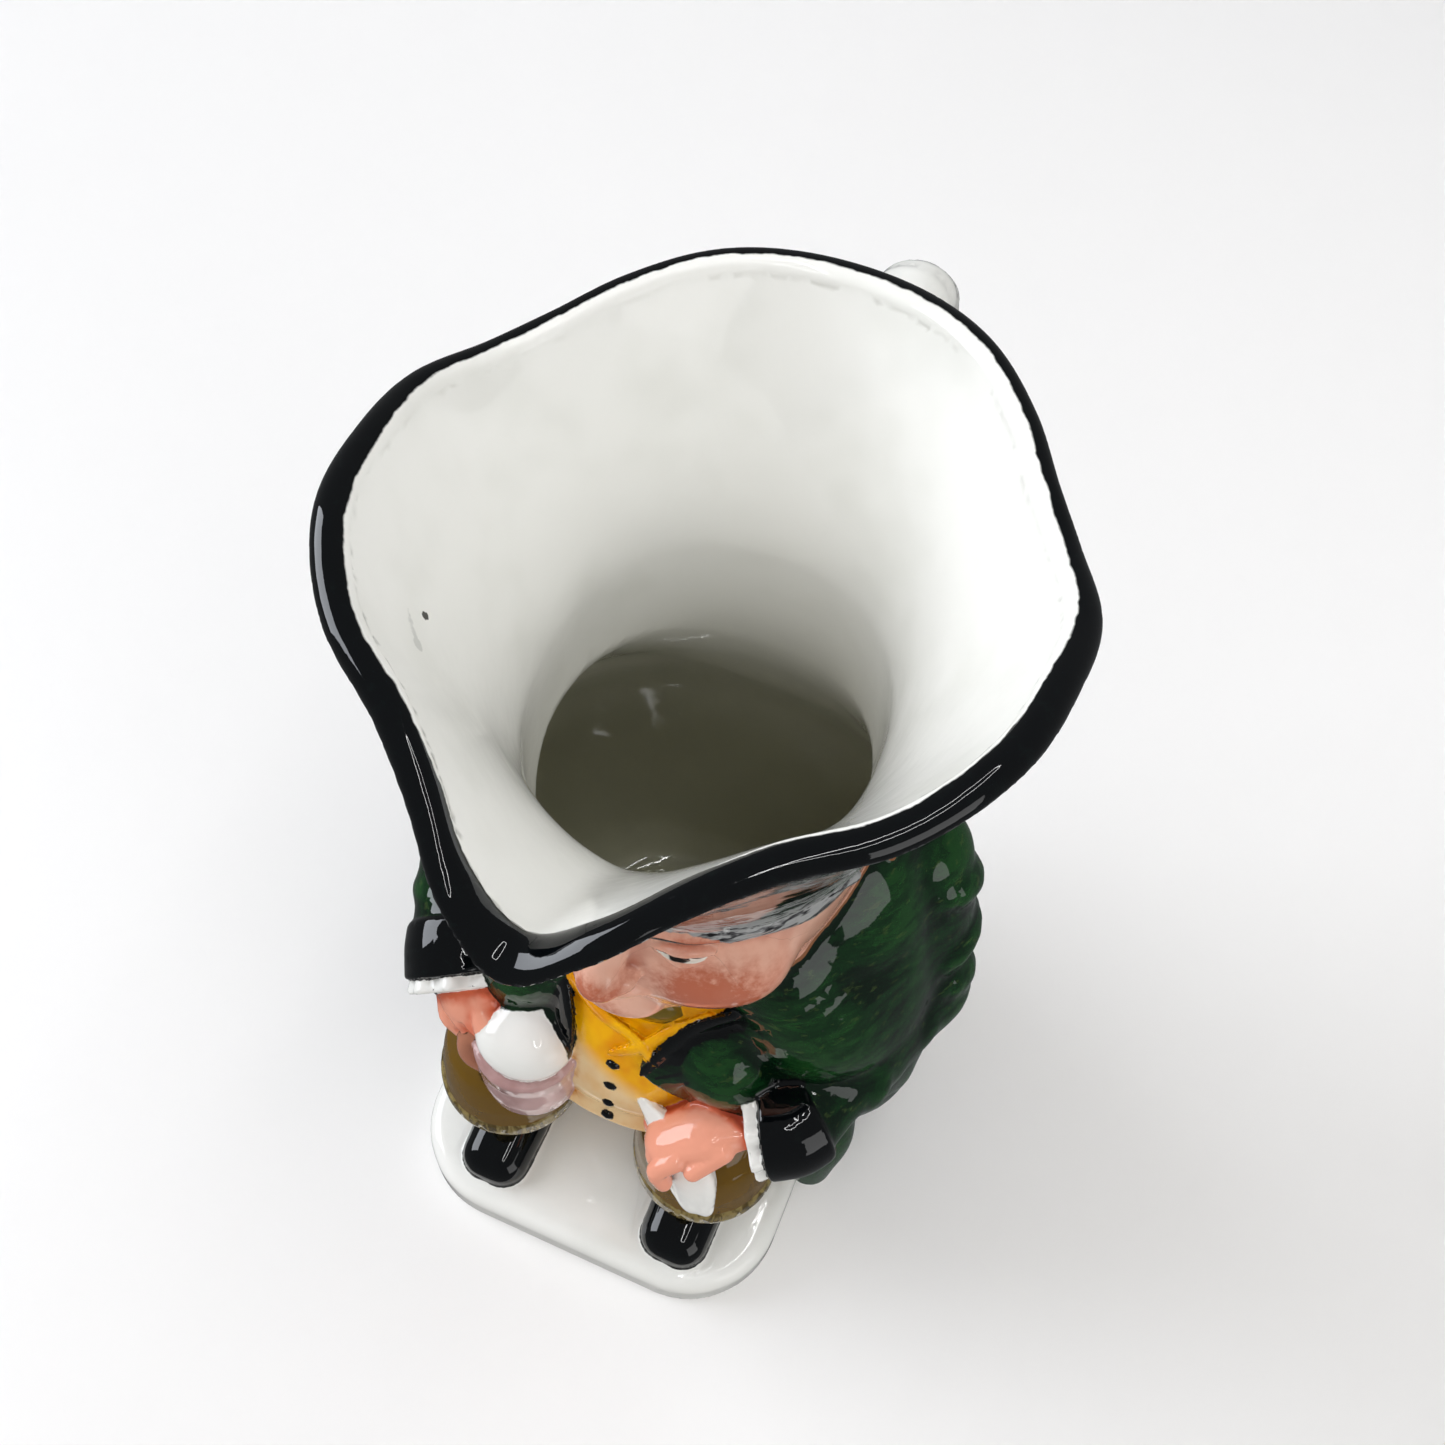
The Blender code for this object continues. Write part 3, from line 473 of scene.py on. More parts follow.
# %% Coat
def on_body(degrees, z, sink):
    """A place on the outside of the body at an angle and a height, sunk into it a little."""
    turn = np.array([math.radians(degrees)])
    reach = float(outer_radius(turn, np.array([float(z)]), carved=False)[0]) - sink
    return reach * math.sin(turn[0]), -reach * math.cos(turn[0]), float(z)


ring = np.radians(np.linspace(48, 312, 15))
collar = np.stack([26.3 * np.sin(ring), 1.2 - 26.5 * np.cos(ring), 88.5 - 4.5 * np.cos(ring)], axis=1)
limb("coat", collar, [1.2, 2.6, 3.6, 3.9, 3.6, 2.6, 1.2], flat=0.75, side=(0, 0, 1), steps=40, melt=1.4)


def strip(paint, places, radii, flat=0.35, lift=0.0, melt=0.3):
    """A flat band on the body: places are degrees and heights, its thin way is straight out from the body."""
    path = np.array([on_body(degrees, z, -lift) for degrees, z in places])
    middle = path.mean(0)
    side = np.cross(unit(np.array([middle[0], middle[1], 0.0])), unit(path[-1] - path[0]))
    limb(paint, path, radii, flat=flat, side=side, melt=melt)


strip("black", [(36, 76), (24, 71), (14.5, 65.5), (9, 61.2)], [1.0, 2.0, 1.9, 0.7], lift=1.0)
strip("black", [(-33, 75), (-23, 70), (-15.5, 63.5), (-12.5, 58)], [1.0, 2.0, 1.9, 0.7], lift=1.0)
strip("waistcoat", [(27, 73), (17, 69.5), (9, 66), (0, 62.8)], [1.4, 1.7, 1.6, 0.9], lift=0.5)
strip("waistcoat", [(-22, 72), (-8, 69), (8, 66), (11, 63.5)], [1.4, 1.7, 1.6, 0.9], lift=0.8)
ball("neckcloth", on_body(3, 72, 1.0), (6.5, 2.6, 4.2), melt=0.5)
for side in (-1, 1):
    limb("coat", [(30.5 * side, -17.5, 44), (32.5 * side, -18.5, 30), (32 * side, -18.8, 18),
                  (31.8 * side, -18.6, 10)], [4.2, 4.6, 4.4, 4.0], melt=1.5)
    for step in range(6):
        degrees = (78 + 17.5 * step) * side
        limb("coat", [on_body(degrees, z, 1.5) for z in (56, 40, 24, 9.5)], [0.8, 1.8, 2.6, 2.9], steps=12, melt=2.0)
ball("spot", (33.6, -24.6, 40.5), (1.6, 1.6, 2.2), melt=0.8)
for z in (43.0, 48.0, 53.6, 59.4):
    ball("black", on_body(0.5, z, 0.1), (1.0, 0.7, 1.0), melt=0.2)
print("all forms:", len(FORMS))

# %% [markdown]
# ## One distance for the whole jug
# The hollow body is a thick wall: at each angle and height the distance from the wall's middle is set
# against half its thickness, and past the lip the height above it joins in, which rounds the rim.
# The cavity and the ground plane are cut away last, so no limb can poke into the drink.


# %% Distance of everything
def body_distance(points):
    """Distance to the thick wall, floor and plinth, and the wall's own numbers for later use."""
    angle = np.arctan2(points[:, 0], -points[:, 1])
    r = np.hypot(points[:, 0], points[:, 1])
    z = points[:, 2]
    lip = lip_height(angle)
    level = np.minimum(z, lip)
    outer = outer_radius(angle, level)
    inner = outer - 1.2 * WALL
    deep = (r < outer - 0.8) | (z > lip - 1.0)
    inner[deep] = inner_radius(angle[deep], level[deep])
    half = (outer - inner) / 2
    share = (r - (outer + inner) / 2) / half
    above = np.maximum(z - lip, 0) / (WALL / 2)
    wall = (np.hypot(share, above) - 1) * WALL / 2
    body = np.minimum(wall, np.maximum(z - FLOOR, (r - outer) * 0.7))
    cavity = np.minimum(-(share + 1) * WALL / 2, z - FLOOR)
    x = np.abs(points[:, 0] - BASE_SHIFT)
    y = points[:, 1]
    flank = melted(BASE_HALF - x, np.minimum(y + BASE_FRONT, BASE_BACK - y), 4.0)
    corner = (BASE_HALF + BASE_FRONT - BASE_CORNER - x + y) / math.sqrt(2)
    rear = (BASE_HALF + BASE_BACK - BASE_CORNER / 2 - x - y) / math.sqrt(2)
    plinth = -melted(melted(flank, np.minimum(corner, rear), 5.0), BASE_TOP - z, 3.4)
    return body, plinth, np.where(z > lip, -9.0, cavity), (angle, r, z, lip, share, above)


def near_box(form, points):
    """Which points lie in a form's box, grown by 4 mm."""
    return np.flatnonzero(((points > form["low"] - 4) & (points < form["high"] + 4)).all(axis=1))


def skin_distance(points):
    """Melted distance of body, plinth and every form, with the cavity and the ground cut away."""
    body, plinth, cavity, _ = body_distance(points)
    total = melted(body, plinth, 2.5)
    for form in FORMS:
        near = near_box(form, points)
        if len(near):
            rule = ball_distance if "centre" in form else limb_distance
            total[near] = melted(total[near], rule(form, points[near]), form["melt"])
    return np.maximum(np.maximum(total, cavity), -points[:, 2])


def slope_of(points, value, step=0.06):
    """Gradient by one small step along each axis."""
    return np.stack([(skin_distance(points + step * axis) - value) / step for axis in np.eye(3)], axis=1)


# %% [markdown]
# ## A first rough mesh
# The pulling needs a mesh of the right make-up to start from: hollow, with a hole through the handle.
# Closed lofts of all forms are thrown together and Blender's voxel Remesh fuses them to one closed
# skin. Decimate then thins the flat places and keeps points where the surface bends.


# %% Rough lofts
def loft(rows):
    """Closed mesh from rings of equal length: a grid of quads with a fan to a middle point at each end."""
    count, around = rows.shape[:2]
    points = np.concatenate([rows.reshape(-1, 3), rows[0].mean(0)[None], rows[-1].mean(0)[None]])
    i, j = np.meshgrid(np.arange(count - 1) * around, np.arange(around), indexing="ij")
    k = (j + 1) % around
    quads = np.stack([i + j, i + k, i + around + k, i + around + j], axis=-1).reshape(-1, 4)
    j = np.arange(around)
    k = (j + 1) % around
    last = (count - 1) * around
    fans = np.concatenate([np.stack([k, j, j * 0 + count * around], 1),
                           np.stack([last + j, last + k, j * 0 + count * around + 1], 1)])
    return points, quads, fans


def ring_points(angle, radius, z):
    """Polar rows to points, the front at -Y."""
    return np.stack([radius * np.sin(angle), -radius * np.cos(angle), z], axis=-1)


def vessel_rows(around=160):
    """Up the outside, over the lip and down the inside to the floor."""
    angle = full_turn(around)
    lip = lip_height(angle)

    def level_ring(rule, z):
        """Ring at a height, or at a height for each angle."""
        z = z + 0 * angle
        return ring_points(angle, rule(angle, z), z)

    rows = [level_ring(outer_radius, z) for z in np.linspace(0, HAT_FOOT, 80)]
    rows += [level_ring(outer_radius, HAT_FOOT + (lip - HAT_FOOT) * share) for share in np.linspace(0, 1, 24)[1:]]
    outside, inside = outer_radius(angle, lip), inner_radius(angle, lip)
    for turn in np.linspace(0, math.pi, 9)[1:-1]:
        radius = (outside + inside) / 2 + (outside - inside) / 2 * math.cos(turn)
        rows.append(ring_points(angle, radius, lip + WALL / 2 * math.sin(turn)))
    rows += [level_ring(inner_radius, HAT_FOOT + (lip - HAT_FOOT) * share) for share in np.linspace(1, 0, 24)]
    rows += [level_ring(inner_radius, z) for z in np.linspace(HAT_FOOT, FLOOR, 70)[1:]]
    return np.array(rows)


def plinth_rows(around=96):
    """Rings of the plinth: the outline is where its distance rule is zero along rays from its middle."""
    angle = full_turn(around)
    reach = np.linspace(10, 60, 400)[:, None]
    middle = (BASE_BACK - BASE_FRONT) / 2
    rows = []
    for z in (0.02, 2.0, 4.0, 5.6, 6.8, 7.5, 7.85):
        points = np.stack([BASE_SHIFT + reach * np.sin(angle), middle - reach * np.cos(angle),
                           np.full((400, around), z)], axis=-1)
        value = body_distance(points.reshape(-1, 3))[1].reshape(400, around)
        edge = reach[np.argmax(value > 0, axis=0), 0]
        rows.append(np.stack([BASE_SHIFT + edge * np.sin(angle), middle - edge * np.cos(angle), np.full(around, z)],
                             axis=-1))
    return np.array(rows)


def form_rows(form, around=24):
    """Rings of a ball or a limb, with domed ends on a limb that isn't blunt."""
    turn = full_turn(around)
    if "centre" in form:
        tilt = np.linspace(0.03, math.pi - 0.03, 14)[:, None]
        sphere = np.stack([np.sin(tilt) * np.cos(turn), np.sin(tilt) * np.sin(turn), np.cos(tilt) + 0 * turn],
                          axis=-1)
        return form["centre"] + sphere * form["radii"]
    path, radius, across, over = (form[key] for key in ("path", "radius", "across", "over"))
    if not form["blunt"]:
        dome = np.radians([80.0, 60.0, 40.0, 20.0])
        first = path[0] - form["along"][0] * (radius[0] * np.sin(dome))[:, None]
        last = path[-1] + form["along"][-1] * (radius[-1] * np.sin(dome[::-1]))[:, None]
        path = np.concatenate([first, path, last])
        radius = np.concatenate([radius[0] * np.cos(dome), radius, radius[-1] * np.cos(dome[::-1])])
        across = np.concatenate([np.repeat(across[:1], 4, 0), across, np.repeat(across[-1:], 4, 0)])
        over = np.concatenate([np.repeat(over[:1], 4, 0), over, np.repeat(over[-1:], 4, 0)])
    turn = turn[None, :, None]
    spread = across[:, None, :] * np.cos(turn) + over[:, None, :] * np.sin(turn) * form["flat"]
    return path[:, None, :] + spread * radius[:, None, None]


def kept_outside(points):
    """Moves a loft's points out of the cavity into the thickness of the wall."""
    angle = np.arctan2(points[:, 0], -points[:, 1])
    radius = np.hypot(points[:, 0], points[:, 1])
    level = np.clip(points[:, 2], FLOOR, lip_height(angle))
    least = np.where(points[:, 2] < FLOOR - 1, 0.0, inner_radius(angle, level) + 1.2)
    radius = np.maximum(radius, least)
    return np.stack([radius * np.sin(angle), -radius * np.cos(angle), points[:, 2]], axis=1)


# %% Fuse and thin
lofts = [loft(vessel_rows()), loft(plinth_rows())]
for form in FORMS:
    points, quads, fans = loft(form_rows(form))
    lofts.append((kept_outside(points), quads, fans))
vertices, faces, start = [], [], 0
for points, quads, fans in lofts:
    vertices.append(points)
    faces += (quads + start).tolist() + (fans + start).tolist()
    start += len(points)
rough = bpy.data.meshes.new("rough")
rough.from_pydata(np.concatenate(vertices).tolist(), [], faces)


def shown(thing):
    """Puts an object into the scene and gives it back."""
    bpy.context.scene.collection.objects.link(thing)
    return thing


def settle(thing):
    """Turns the shape that the modifiers give into the object's own mesh."""
    shape = thing.evaluated_get(bpy.context.evaluated_depsgraph_get())
    mesh = bpy.data.meshes.new_from_object(shape)
    thing.modifiers.clear()
    thing.data = mesh
    return mesh


jug = shown(bpy.data.objects.new("jug_glazed", rough))
fuse = jug.modifiers.new("fuse", "REMESH")
fuse.mode = "VOXEL"
fuse.voxel_size = VOXEL
ease = jug.modifiers.new("ease", "SMOOTH")
ease.factor = 0.5
ease.iterations = 2
mesh = settle(jug)
print("fused skin:", len(mesh.vertices), "points")
thin = jug.modifiers.new("thin", "DECIMATE")
thin.ratio = min(1.0, TRIANGLES / (2 * len(mesh.polygons)))
mesh = settle(jug)
print("thinned skin:", len(mesh.polygons), "triangles")

# %% [markdown]
# ## Pull the points onto the true surface
# Each point steps along the slope of the distance until the distance is zero: p = p - d g / |g|^2.
# The slope itself is the surface's direction there, so it becomes the shading normal. That is what
# makes the reflections in the glaze run clean, whatever the triangles are.

# %% Pull and shade
count = len(mesh.vertices)
flat = np.empty(count * 3)
mesh.vertices.foreach_get("co", flat)
skin = flat.reshape(-1, 3)
flat = np.empty(count * 3)
mesh.vertices.foreach_get("normal", flat)
rough_normal = flat.reshape(-1, 3)
for turn in range(3):
    value = skin_distance(skin)
    slope = slope_of(skin, value) if turn == 2 else rough_normal
    move = value / np.maximum((slope ** 2).sum(1), 0.3)
    skin = skin - np.clip(move, -0.4, 0.4)[:, None] * slope
    skin[:, 2] = np.maximum(skin[:, 2], 0.0)
    print("pull", turn + 1, "mean distance left, mm:", round(float(np.abs(value).mean()), 4))
value = skin_distance(skin)
normal = unit(slope_of(skin, value) + 1e-9)

# %% [markdown]
# ## Which colour goes where
# A painter keeps each colour on its own form. For every point the distance to the nearest form of
# each colour is known, so the seam between two colours is where their distances are equal. One
# signed number for each colour is kept on the mesh, in millimetres, more than zero on that colour,
# and the material turns it into a brush edge that wavers a little.

# %% Colour distances
body, plinth, cavity, (angle, r, z, lip, share, above) = body_distance(skin)
level = np.minimum(z, lip)
PAINTS = ("coat", "waistcoat", "flesh", "hair", "hand", "breeches", "band", "mug", "brown", "neckcloth",
          "spot", "black", "white")
own = {paint: np.full(count, 9.0) for paint in PAINTS}
degrees = np.degrees(np.abs(turned(angle)))
HAIRLINE = np.array([(0, 115), (14, 112.4), (30, 109.4), (50, 105.6), (66, 104), (80, 105), (98, 104.5), (107, 97),
                     (117, 86), (180, 84)], float)
hair_side = z - spline(degrees, HAIRLINE[:, 0], HAIRLINE[:, 1])
head = r - profile(HEAD, angle, level) - np.where(z > NECK, 0, 9)
torso = r - np.maximum(profile(COAT, angle, level), profile(BELLY, angle, level)) - coat_step(angle, level)
opened = in_opening(angle, level)
own["coat"] = torso + np.maximum(opened, 0)
own["waistcoat"] = torso + np.maximum(-opened, 0)
own["flesh"] = head + np.maximum(hair_side, 0)
own["hair"] = head + np.maximum(-hair_side, 0)
hat_foot = HAT_FOOT + UNDER_BRIM * np.exp(-((degrees - 46) / 30) ** 4)
own["black"] = np.maximum(r - hat_radius(angle, np.maximum(level, HAT_FOOT)), hat_foot - z)
own["white"] = np.minimum(own["white"], plinth)
for form in FORMS:
    near = near_box(form, skin)
    if len(near):
        rule = ball_distance if "centre" in form else limb_distance
        own[form["paint"]][near] = np.minimum(own[form["paint"]][near], rule(form, skin[near]))
stack = np.stack([own[paint] for paint in PAINTS])
order = np.sort(stack, axis=0)
fields = {}
for row, paint in enumerate(PAINTS):
    others = np.where(stack[row] <= order[0], order[1], order[0])
    fields[paint] = np.clip(others - stack[row], -6, 6)
# A band on the flesh along the coat's edge under the jaw: partly a painted outline, partly painted shade under the
# jaw
fields["jaw_outline_and_shade"] = np.clip(1.1 - (np.minimum(own["coat"], own["waistcoat"]) - own["flesh"]), -4, 4)
across_lip = np.where(z > lip, (math.pi / 2 - np.arctan2(above, share)) * WALL / 2,
                      np.sign(share) * (math.pi / 2 * WALL / 2 + np.maximum(lip - z, 0)))
turn = np.abs(turned(angle))
fields["lip_edge"] = -0.25 - 2.2 * np.exp(-(turn / 0.55) ** 2) - 1.3 * np.exp(-((turn - 1.2) / 0.5) ** 2)
fields["lip_side"] = np.clip(np.where(z > NECK, across_lip, np.sign(share) * 9), -9, 9)
print("points on each colour:", {paint: int((fields[paint] > 0).sum()) for paint in PAINTS})

# %% [markdown]
# ## Where glaze and colour gather
# Colour that is brushed on runs thin on ridges and pools in folds, and so does glaze. How hollow a
# place is comes from the mesh: the mean of a point's neighbours lies above it in a hollow and below
# it on a ridge. A few rounds of averaging spread that to the width of a fold.

# %% Hollows, cheeks and drawn lines
edges = np.empty(len(mesh.edges) * 2, dtype=np.int64)
mesh.edges.foreach_get("vertices", edges)
one, two = edges.reshape(-1, 2).T
degree = np.bincount(one, minlength=count) + np.bincount(two, minlength=count)


def neighbour_mean(values):
    """Mean of each point's neighbours along the mesh's edges."""
    total = np.bincount(one, weights=values[two], minlength=count) + np.bincount(two, weights=values[one],
                                                                                 minlength=count)
    return total / np.maximum(degree, 1)


smooth = [skin[:, axis] for axis in range(3)]
for _ in range(14):
    smooth = [neighbour_mean(row) for row in smooth]
hollow = sum((smooth[axis] - skin[:, axis]) * normal[:, axis] for axis in range(3))
for _ in range(3):
    hollow = neighbour_mean(hollow)
fields["hollow"] = np.clip(hollow, -1, 1)
x, y = skin[:, 0], skin[:, 1]
front = np.where(y < -8, 1.0, 0.0)
side = np.abs(x)
fields["blush"] = front * (np.exp(-((side - 12.8) / 6.4) ** 2 - ((z - 95) / 6.2) ** 2)
                           + 0.8 * np.exp(-(x / 3.2) ** 2 - ((z - 97.5) / 2.6) ** 2)
                           + 0.55 * np.exp(-((side - 11) / 7) ** 2 - ((z - 108.5) / 2.4) ** 2)
                           + 0.4 * np.exp(-(x / 4) ** 2 - ((z - 82) / 2.6) ** 2))
fields["brow"] = np.where(y < -8, z - (109.0 - 0.055 * (side - 8.5) ** 2), 9.0)
fields["brow_end"] = 5.4 - np.abs(side - 9.0)
fields["lash"] = np.where(y < -8, z - (104.6 - 0.10 * (side - 8.6) ** 2), 9.0)
fields["lash_end"] = 3.9 - np.abs(side - 8.8)
fields["mouth"] = np.where(y < -8, z - (90.6 + 0.012 * side ** 2), 9.0)
fields["mouth_end"] = 5.2 - side
fields["eye"] = np.where(y < -8, 1.0 - np.hypot((side - 8.8) / 3.1, (z - 103.3) / 1.25), -1.0)
fields["iris"] = np.where(y < -8, 1.5 - np.hypot(side - 8.6, (z - 103.3) * 1.05), -4.0)
print("hollows from", round(float(hollow.min()), 2), "to", round(float(hollow.max()), 2), "mm")

# %% Hand the skin to Blender
mesh.vertices.foreach_set("co", (skin * MM).ravel())
mesh.update()
for name, values in fields.items():
    layer = mesh.attributes.new(name, "FLOAT", "POINT")
    layer.data.foreach_set("value", values.astype(np.float32))
mesh.shade_smooth()
mesh.normals_split_custom_set_from_vertices(normal.tolist())
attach(jug, "root")
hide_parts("jug")
print("skin handed over:", len(mesh.polygons), "triangles")

# %% [markdown]
# ## Glaze and enamel colours
# The body is white earthenware under a clear lead-free gloss glaze, with hand-painted enamels: they
# are translucent, so brush strokes show as lighter and darker streaks. One material carries all of
# it, because on the real jug one glaze runs over every colour. The base of the shader is the painted
# body, fairly soft, and its coat is the glassy glaze with an index of refraction of about 1.5.


# %% Colour and node helpers
def linear(code):
    """sRGB hex to linear RGBA."""
    parts = [int(code[i:i + 2], 16) / 255 for i in (1, 3, 5)]
    return (*[part / 12.92 if part <= 0.04045 else ((part + 0.055) / 1.055) ** 2.4 for part in parts], 1.0)


def add_node(tree, kind, settings=None, **inputs):
    """Adds a node; settings are its own properties, inputs are values or other nodes' sockets by name or index."""
    node = tree.nodes.new(kind)
    for name, value in (settings or {}).items():
        setattr(node, name, value)
    for name, value in inputs.items():
        socket = node.inputs[int(name[1:]) if name[0] == "i" and name[1:].isdigit() else name.replace("_", " ")]
        if isinstance(value, bpy.types.NodeSocket):
            tree.links.new(value, socket)
        else:
            socket.default_value = value
    return node


# %% Painted and glazed earthenware
paint = bpy.data.materials.new("enamelled earthenware under gloss glaze")
paint.use_nodes = True
tree = paint.node_tree
surface = tree.nodes["Principled BSDF"]
place = add_node(tree, "ShaderNodeTexCoord").outputs["Object"]


def noise(size_mm, stretch=(1, 1, 1), detail=3.0, rough=0.55, warp=0.0):
    """Noise with cells of a real size, longer where stretch is more than one."""
    scale = [1 / (size_mm * MM * part) for part in stretch]
    mapping = add_node(tree, "ShaderNodeMapping", i0=place, i3=scale)
    return add_node(tree, "ShaderNodeTexNoise", Vector=mapping.outputs[0], Scale=1.0, Detail=detail, Roughness=rough,
                    Distortion=warp).outputs["Fac"]


def field(name):
    """A number that was stored on the mesh."""
    return add_node(tree, "ShaderNodeAttribute", {"attribute_name": name}).outputs["Fac"]


def maths(operation, one, two=0.0, three=0.0, clamp=False):
    """One sum on sockets or numbers."""
    return add_node(tree, "ShaderNodeMath", {"operation": operation, "use_clamp": clamp}, i0=one, i1=two,
                    i2=three).outputs[0]


def ramp(value, low, high, to_low=0.0, to_high=1.0):
    """Smooth step of a value from low to high."""
    return add_node(tree, "ShaderNodeMapRange", {"interpolation_type": "SMOOTHSTEP"}, i0=value, i1=low, i2=high,
                    i3=to_low, i4=to_high).outputs[0]


def over(under, mask, colour):
    """Lays a colour over another where the mask is one; a colour is a socket or an sRGB hex code."""
    under, colour = (linear(value) if isinstance(value, str) else value for value in (under, colour))
    return add_node(tree, "ShaderNodeMix", {"data_type": "RGBA"}, i0=mask, i6=under, i7=colour).outputs[2]


def times(one, two):
    """Product of two sockets or numbers."""
    return maths("MULTIPLY", one, two)


def add(one, two):
    """Sum of two sockets or numbers."""
    return maths("ADD", one, two)


waver = maths("MULTIPLY_ADD", noise(2.2, detail=2.0), 0.7, -0.35)
fine_waver = maths("MULTIPLY_ADD", noise(0.7, detail=1.0), 0.24, -0.12)
brush_edge = add(waver, fine_waver)
hollow_here = field("hollow")


def brushed(name, spill=0.15, soft=0.12):
    """Where a colour lies: its field plus a spill, with an edge that wavers like a brush's."""
    return ramp(add(add(field(name), spill), brush_edge), -soft, soft)


# %% Colours
streak = noise(1.3, stretch=(1, 1, 5), detail=4, rough=0.6, warp=0.6)
patch = noise(7.0, stretch=(1, 1, 1.6), detail=3)
fleck = noise(0.5, detail=2)
GLAZED_WHITE, GREY_WHITE = "#F5F4EF", "#DEDED6"
white = over(GLAZED_WHITE, ramp(noise(16, detail=2), 0.45, 0.75, 0.0, 0.35), GREY_WHITE)

coat_streak = noise(1.2, stretch=(4, 4, 1.2), detail=4, rough=0.62, warp=0.5)
pooled = add(times(hollow_here, 1.1), add(times(coat_streak, 1.3), times(patch, 0.5)))
green = over("#173F1A", ramp(pooled, 0.46, 0.76), "#0A2C12")
green = over(green, ramp(pooled, 0.76, 1.04), "#03180A")
green = over(green, ramp(noise(0.9, stretch=(2.5, 2.5, 1), detail=3), 0.60, 0.70, 0.0, 0.35), "#43542A")

yellow = over("#FBB905", ramp(patch, 0.4, 0.65), "#EE9A02")
peach = over("#F7D9A6", ramp(patch, 0.4, 0.7), "#EFC184")
sideways, backwards, height = add_node(tree, "ShaderNodeSeparateXYZ", i0=place).outputs
low_left = add(times(height, -220.0), maths("MULTIPLY_ADD", sideways, -160.0, patch))
yellow = over(yellow, ramp(low_left, -12.6, -11.2), peach)
yellow = over(yellow, ramp(hollow_here, 0.15, 0.6), "#C77A0C")

flesh = over("#EDBBA4", ramp(patch, 0.35, 0.7), "#E4A78F")
blush = times(field("blush"), maths("MULTIPLY_ADD", noise(1.4, detail=5, rough=0.65), 2.4, -0.28))
flesh = over(flesh, ramp(blush, 0.04, 0.62, 0.0, 0.8), "#B4532F")
flesh = over(flesh, ramp(hollow_here, 0.12, 0.5, 0.0, 0.75), "#9C4A33")

hand = over("#F0A388", ramp(add(patch, hollow_here), 0.35, 0.7), "#DB6B4A")
hand = over(hand, ramp(hollow_here, 0.1, 0.4), "#A23F28")

# Combed sideways in front, hanging behind
combed, hanging = (noise(0.8, stretch=stretch, detail=2, warp=0.8) for stretch in ((4, 4, 1), (1, 1, 5)))
hair_lines = add_node(tree, "ShaderNodeMix", i0=ramp(backwards, -0.016, -0.008), i2=combed, i3=hanging).outputs[0]
hair = over("#A3A4A3", ramp(hair_lines, 0.48, 0.6), "#4A4A4C")
hair = over(hair, ramp(hair_lines, 0.60, 0.68), "#141416")

olive = over("#6A4E14", ramp(add(streak, times(hollow_here, 1.2)), 0.36, 0.62), "#33260C")
band = over("#8B7A4A", ramp(streak, 0.42, 0.62), "#4E3F1C")
mug = over("#C7A5A2", ramp(patch, 0.35, 0.7), "#A98380")
black = over("#030507", ramp(streak, 0.55, 0.75, 0.0, 0.4), "#0A1413")
brown = "#B5785E"

# Hairline gaps between two painted colours show the dark outline colour, not the white body
colour = over(white, ramp(field("white"), -0.55, -0.95), "#0A1A0E")
LAYERS = (("neckcloth", "#6B5A1C", 0.2), ("waistcoat", yellow, 0.25), ("flesh", flesh, 0.2), ("hair", hair, 0.1),
          ("coat", green, 0.2), ("breeches", olive, 0.1), ("band", band, 0.35), ("mug", mug, 0.1),
          ("brown", brown, 0.0),
          ("hand", hand, 0.05), ("spot", "#4A1512", 0.1), ("black", black, 0.1))
for name, shade, spill in LAYERS:
    colour = over(colour, brushed(name, spill), shade)
    if name == "flesh":
        # Brown under the jaw: a painted outline and painted shade where the jaw overhangs the coat
        colour = over(colour, times(brushed("flesh", 0.1), ramp(add(field("jaw_outline_and_shade"), brush_edge), -0.1, 0.1)), "#8A5A3C")


def drawn_line(name, half, end):
    """A brush line: where the offset from its middle is less than a half width that tapers to its ends."""
    width = times(ramp(field(end), 0.0, 2.5), half)
    return ramp(maths("SUBTRACT", width, maths("ABSOLUTE", add(field(name), times(fine_waver, 0.8)))), -0.05, 0.06)


on_flesh = brushed("flesh", 0.0)
colour = over(colour, times(on_flesh, ramp(field("eye"), -0.02, 0.06)), "#E8E2D6")
colour = over(colour, times(on_flesh, times(ramp(field("eye"), -0.02, 0.04), ramp(field("iris"), -0.1, 0.15))),
              "#1B1512")
colour = over(colour, times(on_flesh, drawn_line("brow", 0.42, "brow_end")), "#15110F")
colour = over(colour, times(on_flesh, drawn_line("lash", 0.38, "lash_end")), "#15110F")
colour = over(colour, times(on_flesh, drawn_line("mouth", 0.42, "mouth_end")), "#6B1616")


def vector(operation, one, two=(0, 0, 0), scale=1.0, result=0):
    """One vector sum; result 1 is its number, 0 its vector."""
    return add_node(tree, "ShaderNodeVectorMath", {"operation": operation}, i0=one, i1=two, i3=scale).outputs[result]


def stroke(start, end, half, through, slack):
    """Mask of a short brush stroke: |p - a - h (b - a)| less than half, with h the nearest share along it. The
    part of the offset that runs through the surface counts only by slack, so the stroke lies on whatever is there."""
    start, end, through = Vector(start) * MM, Vector(end) * MM, Vector(through).normalized()
    along = end - start
    offset = vector("SUBTRACT", place, start)
    share = vector("DOT_PRODUCT", offset, along / along.length_squared, result=1)
    beside = vector("SUBTRACT", offset, vector("SCALE", along, scale=maths("ADD", share, 0.0, clamp=True)))
    depth = vector("DOT_PRODUCT", beside, through * (1 - slack), result=1)
    beside = vector("SUBTRACT", beside, vector("SCALE", through, scale=depth))
    away = times(vector("LENGTH", beside, result=1), 1 / MM)
    return ramp(add(away, times(fine_waver, 1.2)), half + 0.08, half - 0.08)


